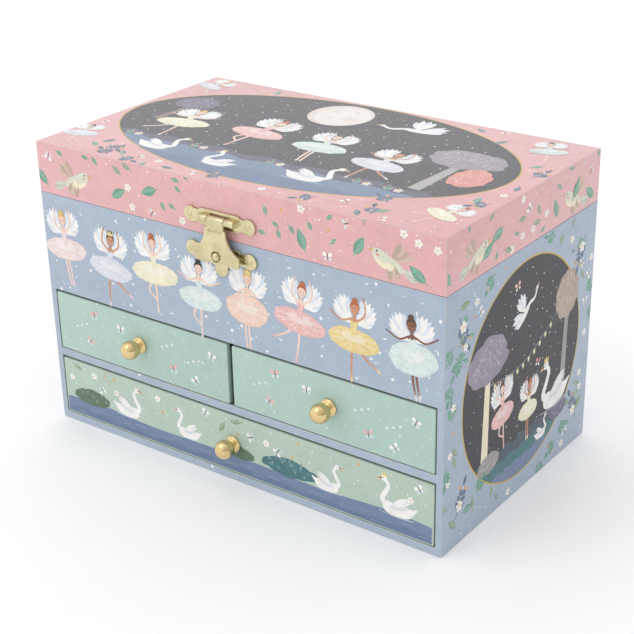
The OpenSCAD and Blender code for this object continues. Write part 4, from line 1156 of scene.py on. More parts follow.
def draw_front(pen):
    """Eight winged dancers in a row above the drawers."""
    glows(pen, (-110, 110, 73, 119), 11, 13)
    dots(pen, (-111, 111, 72.6, 119.6), 5.6, 11, ("white", "ice", "ice", "mist"), (0.25, 0.55))
    for k, (u, v, dress_ink, hair, skin, arms, leg, crown, tutu) in enumerate(FRONT_DANCERS):
        spot = pen.at(u, v, 1.0, (4, -5, 2, 0, -3, -7, -3, 4)[k])
        draw_dancer(spot, dress_ink, hair, skin, arms, leg, True, crown, 1.35 if k in (4, 7) else 1.0, tutu,
                seed=20 + k)


def band(pen, half, birds, seed):
    """The lid's band of birds, leaves and flowers."""
    low, high = 123.5, 144.2
    busy = [(0, 130, 17)] if half > 80 and seed % 2 else []
    leaves = ((-0.95, 127.4, 40, "jade"), (-0.58, 129.5, -60, "jade"), (-0.335, 138.2, 110, "jade"),
            (0.39, 127.5, 20, "jade"), (0.61, 131.4, -30, "jade"), (0.915, 126.6, 52, "jade"))
    for u, v, flip in birds:
        draw_bird(pen.at(u, v, 0.95, 12 * flip, flip))
        busy.append((u, v, 9))
    for share, v, turn, ink in leaves:
        u = share * half
        draw_leaf(pen.at(u, v - 2, 1, turn), ink, 10, 4.6)
        busy.append((u, v, 5))
    small_motifs(pen, (-half + 3, half - 3, low, high), 5.6, busy, seed,
            ("leaf", "flower", "leaf", "butterfly", "dot", "sage", "berry"))
    dots(pen, (-half + 2, half - 2, low - 1, high + 1), 4.6, seed + 1, ("white", "cream", "coral"),
            (0.2, 0.42))


def draw_upper_drawer(pen, u0, seed):
    """Butterflies and dots on one of the small drawers; the pen's u is measured from the drawer's middle."""
    low, high = 41.2, 69.2
    for u, v, turn in ((-29, 62.9, 10), (-33, 48.2, -30), (20.5, 48.4, 15), (44, 61, -20), (34, 46, 40),
            (-12, 60, 0)):
        draw_butterfly(pen.at(u0 + u, v, 1.0, turn), "rose" if turn % 20 else "white", "ice")
    for u, v in ((-38, 56), (17, 59.6), (33, 55.8)):
        for step in (-3.2, 0, 3.4):
            pen.oval(u0 + u + step, v + 0.4 * step, 0.75, 0.7, "ice", sides=10)
            pen.oval(u0 + u + step, v + 0.4 * step, 0.45, 0.42, "white", sides=10)
    dots(pen, (u0 - 52, u0 + 52, low, high), 5.4, seed, ("white", "cream", "mint"), (0.22, 0.45))


def wavy(u0, u1, v, rise, waves, low):
    line = [(u0 + (u1 - u0) * i / 48, v + rise * sin(TURN * waves * i / 48) * (0.6 + 0.4 * cos(0.13 * i)))
            for i in range(49)]
    return [(u0, low), (u1, low)] + line[::-1]


def draw_bottom_drawer(pen):
    """Swans on a lake between bushes."""
    u0, u1, low = -108.2, 108.2, 5.1
    pen.fill(wavy(u0, u1, 13.4, 1.3, 2.5, low), "lake")
    pen.fill(wavy(u0, u1, 8.2, 0.9, 3.5, low), between("lake", "deep", 0.55))
    for k in range(26):
        u = u0 + 6 + k * 8.1
        v = 6.6 + (k * 37 % 11) * 0.45
        pen.stroke([(u, v), (u + 3, v + 0.35), (u + 7, v)], between("lake", "white", 0.35), 0.25, 0.12)
    for u, v, ru, rv, seed in ((-90.4, 16.6, 12, 4.4, 61), (31.8, 17.2, 15, 4.6, 62), (4, 15.8, 8, 3.2, 63)):
        draw_bush(pen.at(u, v), "teal" if seed == 62 else "moss", ru, rv, seed)
    for u, v, size, flip, crown in ((-66, 17.2, 0.78, 1, False), (-27.5, 16.8, 0.66, -1, False),
            (53, 16.0, 0.68, 1, False), (90, 16.6, 0.82, -1, True)):
        draw_swan(pen.at(u, v, size, 0, flip), crown)
    small_motifs(pen, (u0 + 3, u1 - 3, 23, 32.5), 6.5, ((-60, 28, 7), (-32, 26, 5), (57, 25, 6), (84, 28, 7)),
            64,
            ("flower", "butterfly", "dot", "berry", "sage"))
    dots(pen, (u0 + 2, u1 - 2, 20, 33.4), 5.0, 65, ("white", "cream", "mint"), (0.2, 0.4))


def disc_picture(pen, cu, cv, ru, rv, ink, sides=96):
    """An oval picture with a thin gold rim."""
    pen.oval(cu, cv, ru + 0.75, rv + 0.75, "gold", sides=sides)
    pen.oval(cu, cv, ru, rv, ink, sides=sides)


def chord(cu, cv, ru, rv, top, wave, ink, pen, seed=0):
    """The part of an oval that lies below a wavy line."""
    points = []
    for i in range(120):
        a = TURN * i / 120
        u, v = cu + (ru - 0.05) * cos(a), cv + (rv - 0.05) * sin(a)
        if v < top:
            points.append((u, v))
    points.sort(key=lambda p: atan2(p[0] - cu, -(p[1] - cv)))
    if len(points) < 3:
        return
    left, right = points[0], points[-1]
    shore = [(right[0] + (left[0] - right[0]) * i / 30, top + wave * sin(i * 1.3 + seed))
            for i in range(1, 30)]
    pen.fill(points + shore, ink)


def draw_side(pen):
    """The moonlit wood in a round frame, with flowers in the corners."""
    cu, cv, r = 1.0, 62.0, 52.0
    inside = lambda u, v: hypot(u - cu, v - cv) < r - 2.5
    outside = lambda u, v: hypot(u - cu, v - cv) > r + 3.5
    disc_picture(pen, cu, cv, r, r, "night")
    dots(pen, (-50, 52, 30, 113), 5.0, 71, ("white", "cream", "ice"), (0.18, 0.42), inside)
    chord(cu, cv, r, r, 30, 0.9, between("dusk", "teal", 0.25), pen, 1)
    chord(cu, cv, r, r, 24, 0.7, "teal", pen, 2)
    chord(cu, cv, r, r, 18, 0.6, "lake", pen, 4)
    draw_tree(pen.at(-31, 79), between("plum", "ash", 0.45), "cream", 17, 10.5, 50, 4.6, 72)
    draw_tree(pen.at(40, 84), between("taupe", "pearl", 0.3), "ash", 11.2, 12, 46, 4.0, 73)
    draw_flying_swan(pen.at(1, 90, 0.9, 38, -1))
    line = [(-29.6 + 59.3 * i / 12, 66.8 + 11.9 * i / 12 - 7.0 * sin(pi * i / 12)) for i in range(13)]
    pen.stroke(line, "mist", 0.3)
    for u, v in line[1:-1]:
        pen.oval(u, v - 1.5, 1.5, 2.0, between("night", "butter", 0.35), sides=12)
        pen.oval(u, v - 1.5, 0.8, 1.2, "lemon", sides=10)
    draw_bush(pen.at(-28, 28), "ash", 9, 5, 74)
    draw_bush(pen.at(36, 27), between("plum", "night", 0.3), 9, 4.5, 76)
    draw_dancer(pen.at(-16.7, 47.4, 0.9, 6), "rose", "brown", "fair", "up", "bent", True, tutu=10.6, seed=80)
    draw_dancer(pen.at(6.6, 39.5, 0.82, -3), "lemon", "ginger", "tan", "up", "both", True, tutu=10.4, seed=81)
    draw_swan(pen.at(32, 36, 1.18, 0, -1), True, "white")
    draw_swan(pen.at(20, 21, 0.5, 0, 1))
    draw_butterfly(pen.at(-7.4, 104.4, 1.0, 10), "rose", "cream")
    draw_butterfly(pen.at(14, 60, 0.9, -20), "coral", "white")
    for u, v, turn, flip in ((-55, 14, -25, 1), (55, 14, 25, -1), (-55, 108, 205, 1), (55, 108, 155, -1)):
        draw_sprig(pen.at(u, v, 1.15, turn, 1), "slate", 3, 14, "amber")
        draw_leaf(pen.at(u + 6 * flip, v, 1, turn - 60 * flip), "jade", 8, 3.6)
        draw_leaf(pen.at(u, v - 4 * flip * (1 if v < 60 else -1), 1, turn + 70 * flip), "sage", 8, 3.6)
        draw_flower(pen.at(u + 3 * flip, v + (5 if v < 60 else -5), 1.3))
    busy = [(cu, cv, r + 1), (-55, 14, 6), (55, 14, 6), (-55, 108, 6), (55, 108, 6)]
    small_motifs(pen, (-63, 63, 3.5, 118), 4.7, busy, 75,
            ("leaf", "flower", "sage", "butterfly", "berry", "sprig", "sage", "dot"))
    dots(pen, (-64, 64, 2.5, 119), 4.4, 77, ("white", "ice", "amber"), (0.22, 0.45), outside)


def draw_back(pen):
    """Dancers between sprigs, over the lake."""
    half = HALF_W / MM - 1
    dots(pen, (-half, half, 3, 119.5), 6.5, 91, ("white", "ice", "cream"), (0.25, 0.5))
    pen.fill(wavy(-half, half, 22, 2.0, 3, 1.2), "lake")
    pen.fill(wavy(-half, half, 12, 1.5, 4, 1.2), between("lake", "deep", 0.55))
    for u, v, flip in ((-78, 27, 1), (-30, 25, -1), (32, 26, 1), (80, 27, -1)):
        draw_swan(pen.at(u, v, 0.95, 0, flip), u < -70)
    for k, (u, v, dress_ink, hair, skin, arms, leg, crown, tutu) in enumerate(FRONT_DANCERS[1::2]):
        draw_dancer(pen.at(-84 + 56 * k, 76 + (k % 2) * 6, 1.25, (4, -5, 3, -3)[k]), dress_ink, hair, skin,
                arms, leg,
                True, crown, 1.0, tutu, seed=95 + k)
    busy = [(-84 + 56 * k, 78, 19) for k in range(4)] + [(-70, 119, 14), (70, 119, 14)]
    small_motifs(pen, (-half + 4, half - 4, 44, 113), 8.5, busy, 93,
            ("sprig", "flower", "leaf", "butterfly", "sage"))


def draw_top(pen):
    """The dancers' pool by night in an oval, on a pink ground of flowers."""
    cu, cv, ru, rv = -4.2, 3.4, 105.0, 60.2
    inside = lambda u, v: ((u - cu) / (ru - 3)) ** 2 + ((v - cv) / (rv - 3)) ** 2 < 1
    outside = lambda u, v: ((u - cu) / (ru + 3.5)) ** 2 + ((v - cv) / (rv + 3.5)) ** 2 > 1
    disc_picture(pen, cu, cv, ru, rv, "night", 128)
    dots(pen, (-104, 97, -30, 60), 6.0, 101, ("white", "cream", "ice"), (0.2, 0.5), inside)
    chord(cu, cv, ru, rv, -27, 1.6, between("dusk", "plum", 0.25), pen, 1)
    chord(cu, cv, ru, rv, -33, 1.4, "lake", pen, 2)
    chord(cu, cv, ru, rv, -44, 1.2, between("lake", "deep", 0.5), pen, 3)
    draw_moon(pen.at(-15, 43.5), 16.5)
    draw_flying_swan(pen.at(28, 42, 1.25, 6))
    draw_tree(pen.at(72, 18), between("ash", "plum", 0.3), between("ash", "white", 0.2), 19, 12, 44, 5, 102)
    draw_bush(pen.at(84, -2), "coral", 9, 12, 103)
    draw_tree(pen.at(-88, 22), between("plum", "night", 0.35), "bark", 11, 10, 30, 3, 104)
    for u, v, size, dress_ink, hair, skin, arms, leg, turn in (
            (-73, -6, 1.1, "lemon", "blond", "fair", "wide", "left", 8),
            (-32, 0, 1.15, "rose", "ginger", "fair", "up", "bent", -5),
            (5.4, -2, 1.1, "mint", "brown", "fair", "up", "both", 4),
            (41, -8, 1.1, "lilac", "black", "tan", "one", "right", -6)):
        draw_dancer(pen.at(u, v, size, turn), dress_ink, hair, skin, arms, leg, True, seed=int(u) + 200)
    for u, v, size, flip in ((-61, -40, 0.9, 1), (-21, -44, 0.8, -1), (24, -38, 1.0, 1)):
        draw_swan(pen.at(u, v, size, 0, flip), flip < 0)
    for u in (-84, -44, 0, 46, 62):
        draw_sprig(pen.at(u, -34, 0.7, 10), "jade", 2, 7, "coral")
        draw_flower(pen.at(u + 5, -31, 1.1), "pearl")
    for u, v, dress_ink, hair, turn in ((95, 48, "mint", "brown", 20), (97, -45, "lemon", "ginger", -25),
            (-103, -45, "ice", "brown", 15), (-103, 50, "lilac", "blond", -20)):
        draw_dancer(pen.at(u, v, 0.7, turn), dress_ink, hair, "fair", "wide", "left" if u > 0 else "right",
                True,
                seed=int(u) + 400)
    busy = [(-95, 48, 13), (95, 48, 13), (96, -45, 13), (-103, -45, 13), (-103, 50, 13)]
    for u, v, turn, lot in scatter((-108, 108, -62, 62), 6.0, busy, 105, tries=1600):
        if outside(u, v):
            spot = pen.at(u, v, 0.9 + 0.3 * lot, turn)
            kind = int(lot * 6)
            if kind == 0:
                draw_flower(spot)
            elif kind == 1:
                draw_butterfly(spot, "white", "rose")
            elif kind in (2, 3):
                draw_leaf(spot, "teal" if kind == 2 else "jade", 6.5, 2.8)
            elif kind == 4:
                draw_sprig(spot, "slate", 2, 7.5, "amber")
            else:
                spot.oval(0, 0, 0.5, 0.5, "white", sides=8)
    dots(pen, (-110, 110, -63.5, 63.5), 4.2, 106, ("white", "cream"), (0.25, 0.5), outside)


FACES = {
    "front": lambda u, v, lift: (u * MM, -HALF_D + PAPER_IN - lift * MM, v * MM),
    "back": lambda u, v, lift: (-u * MM, HALF_D - PAPER_IN + lift * MM, v * MM),
    "right": lambda u, v, lift: (HALF_W - PAPER_IN + lift * MM, u * MM, v * MM),
    "left": lambda u, v, lift: (-HALF_W + PAPER_IN - lift * MM, -u * MM, v * MM),
    "top": lambda u, v, lift: (u * MM, v * MM, LID_TOP[1].z - PAPER_IN + lift * MM),
}


class BALLEBOX_OT_pictures(bpy.types.Operator):
    """The printed pictures on every face of the case, the lid and the drawers"""
    bl_idname = "ballebox.pictures"
    bl_label = "Printed pictures"

    def execute(self, context):
        left = tuple(c.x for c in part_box("left_drawer_front"))
        right = tuple(c.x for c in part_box("right_drawer_front"))
        lid_side = lambda pen: band(pen, HALF_D / MM, ((-42, 130.5, 1), (40, 129.5, -1)), 52)
        upper = lambda ends, seed: lambda pen: draw_upper_drawer(pen, sum(ends) / 2 / MM, seed)
        prints = (
            ("case_front_print", "front", "case", draw_front),
            ("case_back_print", "back", "case", draw_back),
            ("case_right_print", "right", "case", draw_side),
            ("case_left_print", "left", "case", draw_side),
            ("lid_front_print", "front", "lid",
             lambda pen: band(pen, HALF_W / MM, ((-87.5, 130.5, 1), (85.4, 129.8, -1)), 31)),
            ("lid_back_print", "back", "lid",
             lambda pen: band(pen, HALF_W / MM, ((-60, 131, 1), (60, 130, -1)), 42)),
            ("lid_right_print", "right", "lid", lid_side),
            ("lid_left_print", "left", "lid", lid_side),
            ("lid_top_print", "top", "lid", draw_top),
            ("left_drawer_print", "front", "left_drawer", upper(left, 111)),
            ("right_drawer_print", "front", "right_drawer", upper(right, 121)),
            ("bottom_drawer_print", "front", "bottom_drawer", draw_bottom_drawer),
        )
        slots = {"case": "blue_paper", "lid": "pink_paper"}
        edge = (PAPER_IN + settings().papers.edge_radius) / MM
        for name, face, body, draw in prints:
            half = (HALF_D if face in ("left", "right") else HALF_W) / MM
            limits = {
                "case": (-half, half, 0, CASE_TOP / MM),
                "lid": (-half, half, LID_WALL[0].z / MM, LID_TOP[1].z / MM),
            }.get(body)
            if limits is None:
                low, high = (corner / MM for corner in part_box(f"{body}_front"))
                limits = (low.x, high.x, low.z, high.z)
            if face == "top":
                limits = (-half, half, -HALF_D / MM, HALF_D / MM)
            sheet = Sheet(FACES[face], [limit + way * edge for limit, way in zip(limits, (1, -1, 1, -1))])
            draw(Pen(sheet))
            sheet.build(name, body, slots.get(body, "green_paper"),
                    papers()["varnished" if body == "lid" else "inks"])
        return {"FINISHED"}


# Shaped pieces

def turned(name, rings, sides=32):
    """A round closed shape along +Z, drawn out ring by ring from (radius, height) pairs in mm."""
    (radius, height), rest = rings[0], rings[1:]
    obj = fresh(bpy.ops.mesh.primitive_circle_add, vertices=sides, radius=radius * MM, fill_type="NGON",
            location=(0, 0, height * MM))
    obj.name = obj.data.name = name
    bpy.ops.object.mode_set(mode="EDIT")
    bpy.ops.mesh.select_all(action="SELECT")
    for wide, high in rest:
        bpy.ops.mesh.extrude_region_move(TRANSFORM_OT_translate={"value": (0, 0, (high - height) * MM)})
        bpy.ops.transform.resize(value=(wide / radius, wide / radius, 1), center_override=(0, 0, high * MM))
        radius, height = wide, high
    bpy.ops.mesh.select_all(action="SELECT")
    bpy.ops.mesh.normals_make_consistent(inside=False)
    bpy.ops.object.mode_set(mode="OBJECT")
    return obj


ASLANT = Vector((0.31, 0.52, 0.79))  # a way that no wire here runs along


def tube(name, line, radius, sides=8):
    """A closed round wire along a line of points; radius is one value or one for each point."""
    radii = [radius] * len(line) if isinstance(radius, (int, float)) else radius
    line = [Vector(p) for p in line]
    mesh = bpy.data.meshes.new(name)
    shape = bmesh.new()
    side = None
    loops = []
    for i, p in enumerate(line):
        along = (line[min(i + 1, len(line) - 1)] - line[max(i - 1, 0)]).normalized()
        if side is None:
            side = along.cross(ASLANT).normalized()
        side = (side - along * side.dot(along)).normalized()
        over = along.cross(side)
        loops.append([shape.verts.new(p + radii[i]
                * (cos(TURN * k / sides) * side + sin(TURN * k / sides) * over))
                for k in range(sides)])
    for a, b in zip(loops, loops[1:]):
        for k in range(sides):
            shape.faces.new((a[k], a[(k + 1) % sides], b[(k + 1) % sides], b[k]))
    shape.faces.new(loops[0][::-1])
    shape.faces.new(loops[-1])
    shape.to_mesh(mesh)
    shape.free()
    return linked(name, mesh)


def joined(name, *parts):
    deselect_all()
    for part in parts:
        part.select_set(True)
    bpy.context.view_layer.objects.active = parts[0]
    if len(parts) > 1:
        bpy.ops.object.join()
    obj = bpy.context.active_object
    obj.name = obj.data.name = name
    return obj


def copied(obj, name):
    twin = linked(name, obj.data.copy())
    twin.data.name = name
    return twin


def refined(node, body, slot, material, bevel=0.0):
    """A merged copy of a part of the frame, with smooth curves and softened edges, that stands for it."""
    obj = select_only(linked(f"{node}_finished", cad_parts[node].data.copy()))
    bpy.ops.object.mode_set(mode="EDIT")
    bpy.ops.mesh.select_all(action="SELECT")
    bpy.ops.mesh.remove_doubles(threshold=0.002 * MM)
    bpy.ops.mesh.dissolve_limited(angle_limit=radians(1))
    bpy.ops.object.mode_set(mode="OBJECT")
    if bevel:
        round_edges(obj, bevel, 2, radians(35))
    dress(obj, material)
    return place(smooth(obj), body, slot, [node])


# Brass

def metals():
    look = settings().brass
    return {
        "plate": made_once(metal, "clasp_brass", look.plate, (0.36, 0.28, 0.13), look.tarnish, 0.24),
        "mark": made_once(metal, "stamped_brass", (0.40, 0.32, 0.16), (0.2, 0.15, 0.07), 0.6, 0.5),
        "gold": made_once(metal, "knob_gold", look.knob, (0.42, 0.27, 0.09), 0.2, 0.08),
        "works": made_once(metal, "movement_metal", (0.80, 0.66, 0.36), (0.5, 0.38, 0.18), 0.25, 0.28),
        "steel": made_once(metal, "plain_steel", (0.72, 0.73, 0.75), (0.4, 0.4, 0.42), 0.25, 0.25),
    }


class BALLEBOX_OT_brassware(bpy.types.Operator):
    """The clasp, the hinges, the nails, the key and the movement, with softened edges"""
    bl_idname = "ballebox.brassware"
    bl_label = "Brassware"

    def execute(self, context):
        finish = metals()
        fittings = (
            ("case", "pale_brass", "plate", 0.16, ["clasp_case_plate", "hinge_case_leaves"]),
            ("case", "pale_brass", "plate", 0, ["clasp_stud", "case_nails"]),
            ("lid", "pale_brass", "plate", 0.16, ["clasp_lid_plate", "hinge_lid_leaves"]),
            ("lid", "pale_brass", "plate", 0, ["lid_nails"]),
            ("hasp", "pale_brass", "plate", 0.16, ["clasp_hasp"]),
            ("case", "steel", "steel", 0, ["hinge_pins"]),
            ("lid", "steel", "steel", 0, ["clasp_pin"]),
            ("key", "gold_brass", "gold", 0.15, ["winding_key"]),
            ("key", "steel", "steel", 0, ["winding_arbor"]),
            ("case", "steel", "steel", 0.1, ["movement_bedplate", "comb"]),
            ("case", "movement_brass", "works", 0.05, ["movement_screws"]),
            ("barrel", "movement_brass", "works", 0, ["mainspring_barrel"]),
            ("cylinder", "movement_brass", "works", 0, ["music_cylinder"]),
            ("governor", "movement_brass", "works", 0, ["governor_wheel"]),
            ("fly", "steel", "steel", 0, ["governor_fly"]),
            ("stop", "steel", "steel", 0, ["stop_wire"]),
            ("spindle", "movement_brass", "works", 0, ["crown_gear", "dancer_spindle"]),
            ("spring_top", "gold_brass", "gold", 0.12, ["spring_cap"]),
            ("left_drawer", "steel", "steel", 0.1, ["left_drawer_screw"]),
            ("right_drawer", "steel", "steel", 0.1, ["right_drawer_screw"]),
            ("bottom_drawer", "steel", "steel", 0.1, ["bottom_drawer_screw"]),
        )
        for body, slot, key, bevel, nodes in fittings:
            for node in nodes:
                refined(node, body, slot, finish[key], bevel * MM)
        self.stamp_hasp(finish["mark"])
        return {"FINISHED"}

    def stamp_hasp(self, material):
        """A row of short stamped strokes under the pin, and a fine line along the foot of the hasp."""
        low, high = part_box("clasp_hasp")
        middle, face = (low.x + high.x) / 2, low.y
        # height in metres; half length and rise in mm; how many to each side; pitch and radius in mm
        rows = (
            (high.z - 6.2 * MM, 0.25, 0.55, 3, 1.15, 0.11),
            (low.z + 1.1 * MM, 0.3, 0, 6, 1.55, 0.09),
        )
        strokes = []
        for z, half, rise, each_side, pitch, radius in rows:
            for k in range(-each_side, each_side + 1):
                x = middle + k * pitch * MM
                ends = [(x - half * MM, face, z + rise * MM), (x + half * MM, face, z - rise * MM)]
                strokes.append(tube("stroke", ends, radius * MM, 6))
        place(dress(smooth(joined("hasp_stamping", *strokes)), material), "hasp", "pale_brass")


class BALLEBOX_OT_knobs(bpy.types.Operator):
    """Three turned knobs with a flange, a waisted neck and a ball"""
    bl_idname = "ballebox.knobs"
    bl_label = "Knobs"

    def execute(self, context):
        low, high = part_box("bottom_drawer_knob")
        ball = (high.x - low.x) / 2 / MM
        reach = (high.y - low.y) / MM
        middle = reach - ball
        rings = [(3.85, 0), (4.05, 0.15), (4.08, 0.5), (3.9, 0.75), (3.55, 0.85), (3.4, 1.05), (2.7, 1.35),
                (2.3, 1.6), (2.15, 1.9)]
        neck, tip, steps = 2.4, 0.05, 16  # the neck's radius, and where the ball is cut off at its tip
        start = asin(neck / ball)
        for k in range(steps + 1):
            angle = start + (pi - start - tip) * k / steps
            rings.append((ball * sin(angle), middle - ball * cos(angle)))
        master = smooth(turned("knob", rings, 40), 50)
        for side in ("left", "right", "bottom"):
            low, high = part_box(f"{side}_drawer_knob")
            knob = copied(master, f"{side}_turned_knob")
            knob.data.transform(Matrix.Rotation(pi / 2, 4, "X"))
            knob.data.transform(Matrix.Translation(((low.x + high.x) / 2, high.y, (low.z + high.z) / 2)))
            place(dress(knob, metals()["gold"]), f"{side}_drawer", "gold_brass", [f"{side}_drawer_knob"])
        bpy.data.objects.remove(master)
        return {"FINISHED"}


# Velvet and cushions

def fabrics():
    look = settings().soft
    return {
        "velvet": made_once(velvet, "lilac_velvet", look.velvet),
        "rolls": made_once(velvet, "roll_velvet", look.rolls, 0.8),
    }


def puffed(obj, big, frames, pressure, reach):
    """Blows a cushion up by a cloth simulation, at a larger size because cloth is solved for furniture."""
    before = [v.co.copy() for v in obj.data.vertices]
    select_only(obj)
    made = obj.modifiers.new("Cloth", "CLOTH")
    made.settings.quality = 5
    made.settings.use_pressure = True
    made.settings.uniform_pressure_force = pressure
    made.settings.effector_weights.gravity = 0
    made.point_cache.frame_start, made.point_cache.frame_end = 1, frames
    for step in range(1, frames + 1):
        bpy.context.scene.frame_set(step)
    bpy.ops.object.modifier_apply(modifier=made.name)
    bpy.context.scene.frame_set(1)
    for vertex, start in zip(obj.data.vertices, before):
        moved = vertex.co - start
        if moved.length > reach * big:
            vertex.co = start + moved.normalized() * reach * big
    return obj


class BALLEBOX_OT_ring_rolls(bpy.types.Operator):
    """Stuffed velvet rolls that hold rings between them"""
    bl_idname = "ballebox.ring_rolls"
    bl_label = "Ring rolls"

    def execute(self, context):
        low, high = ROLLS
        tall = high.z - low.z
        count = settings().soft.roll_count
        pitch = (high.y - low.y - tall) / (count - 1)
        long = high.x - low.x
        big = 20  # how many times its size the roll is while its cloth is solved
        roll = fresh(bpy.ops.mesh.primitive_cylinder_add, vertices=24, radius=0.435 * tall * big,
                depth=0.93 * long * big, rotation=(0, pi / 2, 0))
        bpy.ops.object.mode_set(mode="EDIT")
        bpy.ops.mesh.select_all(action="DESELECT")
        bpy.ops.object.mode_set(mode="OBJECT")
        for face in roll.data.polygons:
            face.select = abs(face.normal.x) > 0.9
        bpy.ops.object.mode_set(mode="EDIT")
        bpy.ops.mesh.inset(thickness=0.2 * tall * big)
        bpy.ops.object.mode_set(mode="OBJECT")
        for vertex in roll.data.vertices:  # the gathered middle of each end is drawn in
            if hypot(vertex.co.y, vertex.co.z) < 0.3 * tall * big:
                vertex.co.x *= 0.955
        apply_modifier(roll, "REMESH", mode="VOXEL", voxel_size=0.055 * tall * big)
        puffed(roll, big, frames=18, pressure=4.0, reach=0.06 * tall)
        self.gather(roll, long * big)
        apply_modifier(roll, "SUBSURF", levels=1, render_levels=1)
        roll.data.transform(Matrix.Scale(1 / big, 4))
        lots = random.Random(7)
        ripple, ripples = 0.12 * MM, 210  # height of the pile's ripples, and radians of them in a metre
        for k in range(count):
            piece = copied(roll, f"ring_roll_{k + 1}")
            flip = Matrix.Rotation(pi * (k % 2), 4, "Z")
            piece.data.transform(flip)
            middle = Vector(((low.x + high.x) / 2, low.y + tall / 2 + k * pitch, low.z + tall / 2))
            for vertex in piece.data.vertices:
                vertex.co.z += ripple * sin(vertex.co.x * ripples + lots.uniform(0, 0.2) + k)
                vertex.co.z = max(vertex.co.z, -0.47 * tall)
                vertex.co.z = min(vertex.co.z, 0.498 * tall)
                vertex.co.y = max(min(vertex.co.y, 0.5 * pitch), -0.5 * pitch)
            piece.data.transform(Matrix.Translation(middle))
            smooth(piece, 80)
            dress(piece, fabrics()["rolls"])
            place(piece, "case", "velvet", ["ring_cushion"])
        bpy.data.objects.remove(roll)
        return {"FINISHED"}

    def gather(self, roll, long):
        """Draws the ends in with small folds, and presses a shallow seam along the roll's underside."""
        for vertex in roll.data.vertices:
            x, y, z = vertex.co
            near_end = max(0.0, (abs(x) - 0.38 * long) / (0.12 * long))
            angle = atan2(z, y)
            fold = 1 - 0.05 * near_end * (0.5 + 0.5 * cos(9 * angle))
            seam = 1 - 0.05 * exp(-((angle + pi / 2) / 0.16) ** 2)
            vertex.co = (x, y * fold * seam, z * fold * seam)


class BALLEBOX_OT_linings(bpy.types.Operator):
    """Flocked cards on the floors of the drawers, and velvet on the linings of the top compartment"""
    bl_idname = "ballebox.linings"
    bl_label = "Linings"

    def execute(self, context):
        cloth = fabrics()["velvet"]
        look = settings().soft
        for node in ("inner_liner", "floor_lining", "compartment_dividers", "movement_cover"):
            dress(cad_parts[node], cloth)
        wall, gap = 2.0 * MM, 0.15 * MM  # the tray's wall, and the room round the card
        for side in ("left", "right", "bottom"):
            low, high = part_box(f"{side}_drawer_tray")
            card = add_block(
                f"{side}_drawer_lining", (low.x + wall + gap, low.y + gap, low.z + wall + 0.02 * MM),
                (high.x - wall - gap, high.y - wall - gap, low.z + wall + look.card))
            round_edges(card, 0.35 * MM)
            place(dress(smooth(card), cloth), f"{side}_drawer", "velvet")
        return {"FINISHED"}


# Dancer and her spring

SPRING_FOOT = Vector((0, 17.0, 100.4)) * MM
SPRING_TOP = Vector((0, 17.0, 114.537)) * MM
SPRING_HEAD = Vector((0, 8.0, 109.4)) * MM
TILT_PIVOT = Vector((0, 15.0685, 107.4685)) * MM

PEG = 1.0 * MM  # how far the peg reaches below the dancer's feet
HEAD_Z, HEAD_R = 40.6 * MM, 3.3 * MM
HEAD_Y = -0.1 * MM


def eased(point):
    """How far a point of the folded spring follows its head, as the frame's blend works it out."""
    span = SPRING_HEAD - SPRING_FOOT
    share = min(1.0, max(0.0, (point - SPRING_FOOT).dot(span) / span.length_squared))
    return share * share * (3 - 2 * share)


def folded_down(point):
    """Where a point of the straight upright spring lies when it is folded under the lid."""
    low, high = 0.0, 1.0
    for _ in range(40):
        share = (low + high) / 2
        place_now = TILT_PIVOT + Matrix.Rotation(share * pi / 2, 3, "X") @ (point - TILT_PIVOT)
        if share < eased(place_now):
            low = share
        else:
            high = share
    return place_now


class BALLEBOX_OT_spring(bpy.types.Operator):
    """The coil spring that stands the dancer up"""
    bl_idname = "ballebox.spring"
    bl_label = "Coil spring"

    def execute(self, context):
        look = settings().dancer
        wire = look.spring_wire / 2
        low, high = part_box("dancer_spring")
        radius = (high.x - low.x) / 2 - wire
        tall = SPRING_TOP.z - SPRING_FOOT.z - 2 * wire
        turns = round(tall / (2.7 * wire))
        steps = turns * 20
        coil = []
        for i in range(steps + 1):
            angle = TURN * i / 20
            up = SPRING_FOOT.z + wire + tall * i / steps
            coil.append((radius * cos(angle), SPRING_FOOT.y + radius * sin(angle), up))
        spring = tube("coil_spring", coil, wire, 8)
        for vertex in spring.data.vertices:
            vertex.co = folded_down(vertex.co)
        smooth(spring, 60)
        dress(spring, metals()["steel"])
        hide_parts("dancer_spring")
        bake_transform(spring)
        return {"FINISHED"}


def enamel(name, colour, gloss=0.3, mottle=0.06):
    """Hand-painted plastic: a slightly uneven colour under a clear coat."""
    material, w, shader = new_material(name, Coat_Weight=0.4, Coat_Roughness=0.15, Subsurface_Weight=0.08)
    paint = w.group(once("Gouache strokes", gouache_group), {
        "Colour": (*colour, 1), "Blotch": mottle, "Streak": mottle * 2, "Streaks per metre": 1500.0})
    w.feed(shader, "Base Color", paint.outputs["Colour"])
    w.feed(shader, "Roughness", w.ranged(paint.outputs["Height"], 0.3, 0.7, gloss - 0.05, gloss + 0.08))
    bump(w, shader, paint.outputs["Height"], 0.000015)
    return material


def satin(name, colour):
    """Woven satin with a soft sheen."""
    material, w, shader = new_material(name, Roughness=0.35, Sheen_Weight=0.3, Anisotropic=0.4)
    here = w.place()
    weave = w.node("TexWave", {"Vector": here, "Scale": 1400.0, "Distortion": 1.5}, wave_type="BANDS",
            bands_direction="Z").outputs["Fac"]
    sway = w.noise(here, 240.0, 2.0).outputs["Fac"]
    dark = tuple(0.82 * c for c in colour)
    w.feed(shader, "Base Color", w.mix(sway, (*dark, 1), (*colour, 1)))
    w.feed(shader, "Roughness", w.ranged(weave, 0, 1, 0.3, 0.5))
    bump(w, shader, weave, 0.00002, 0.5)
    return material


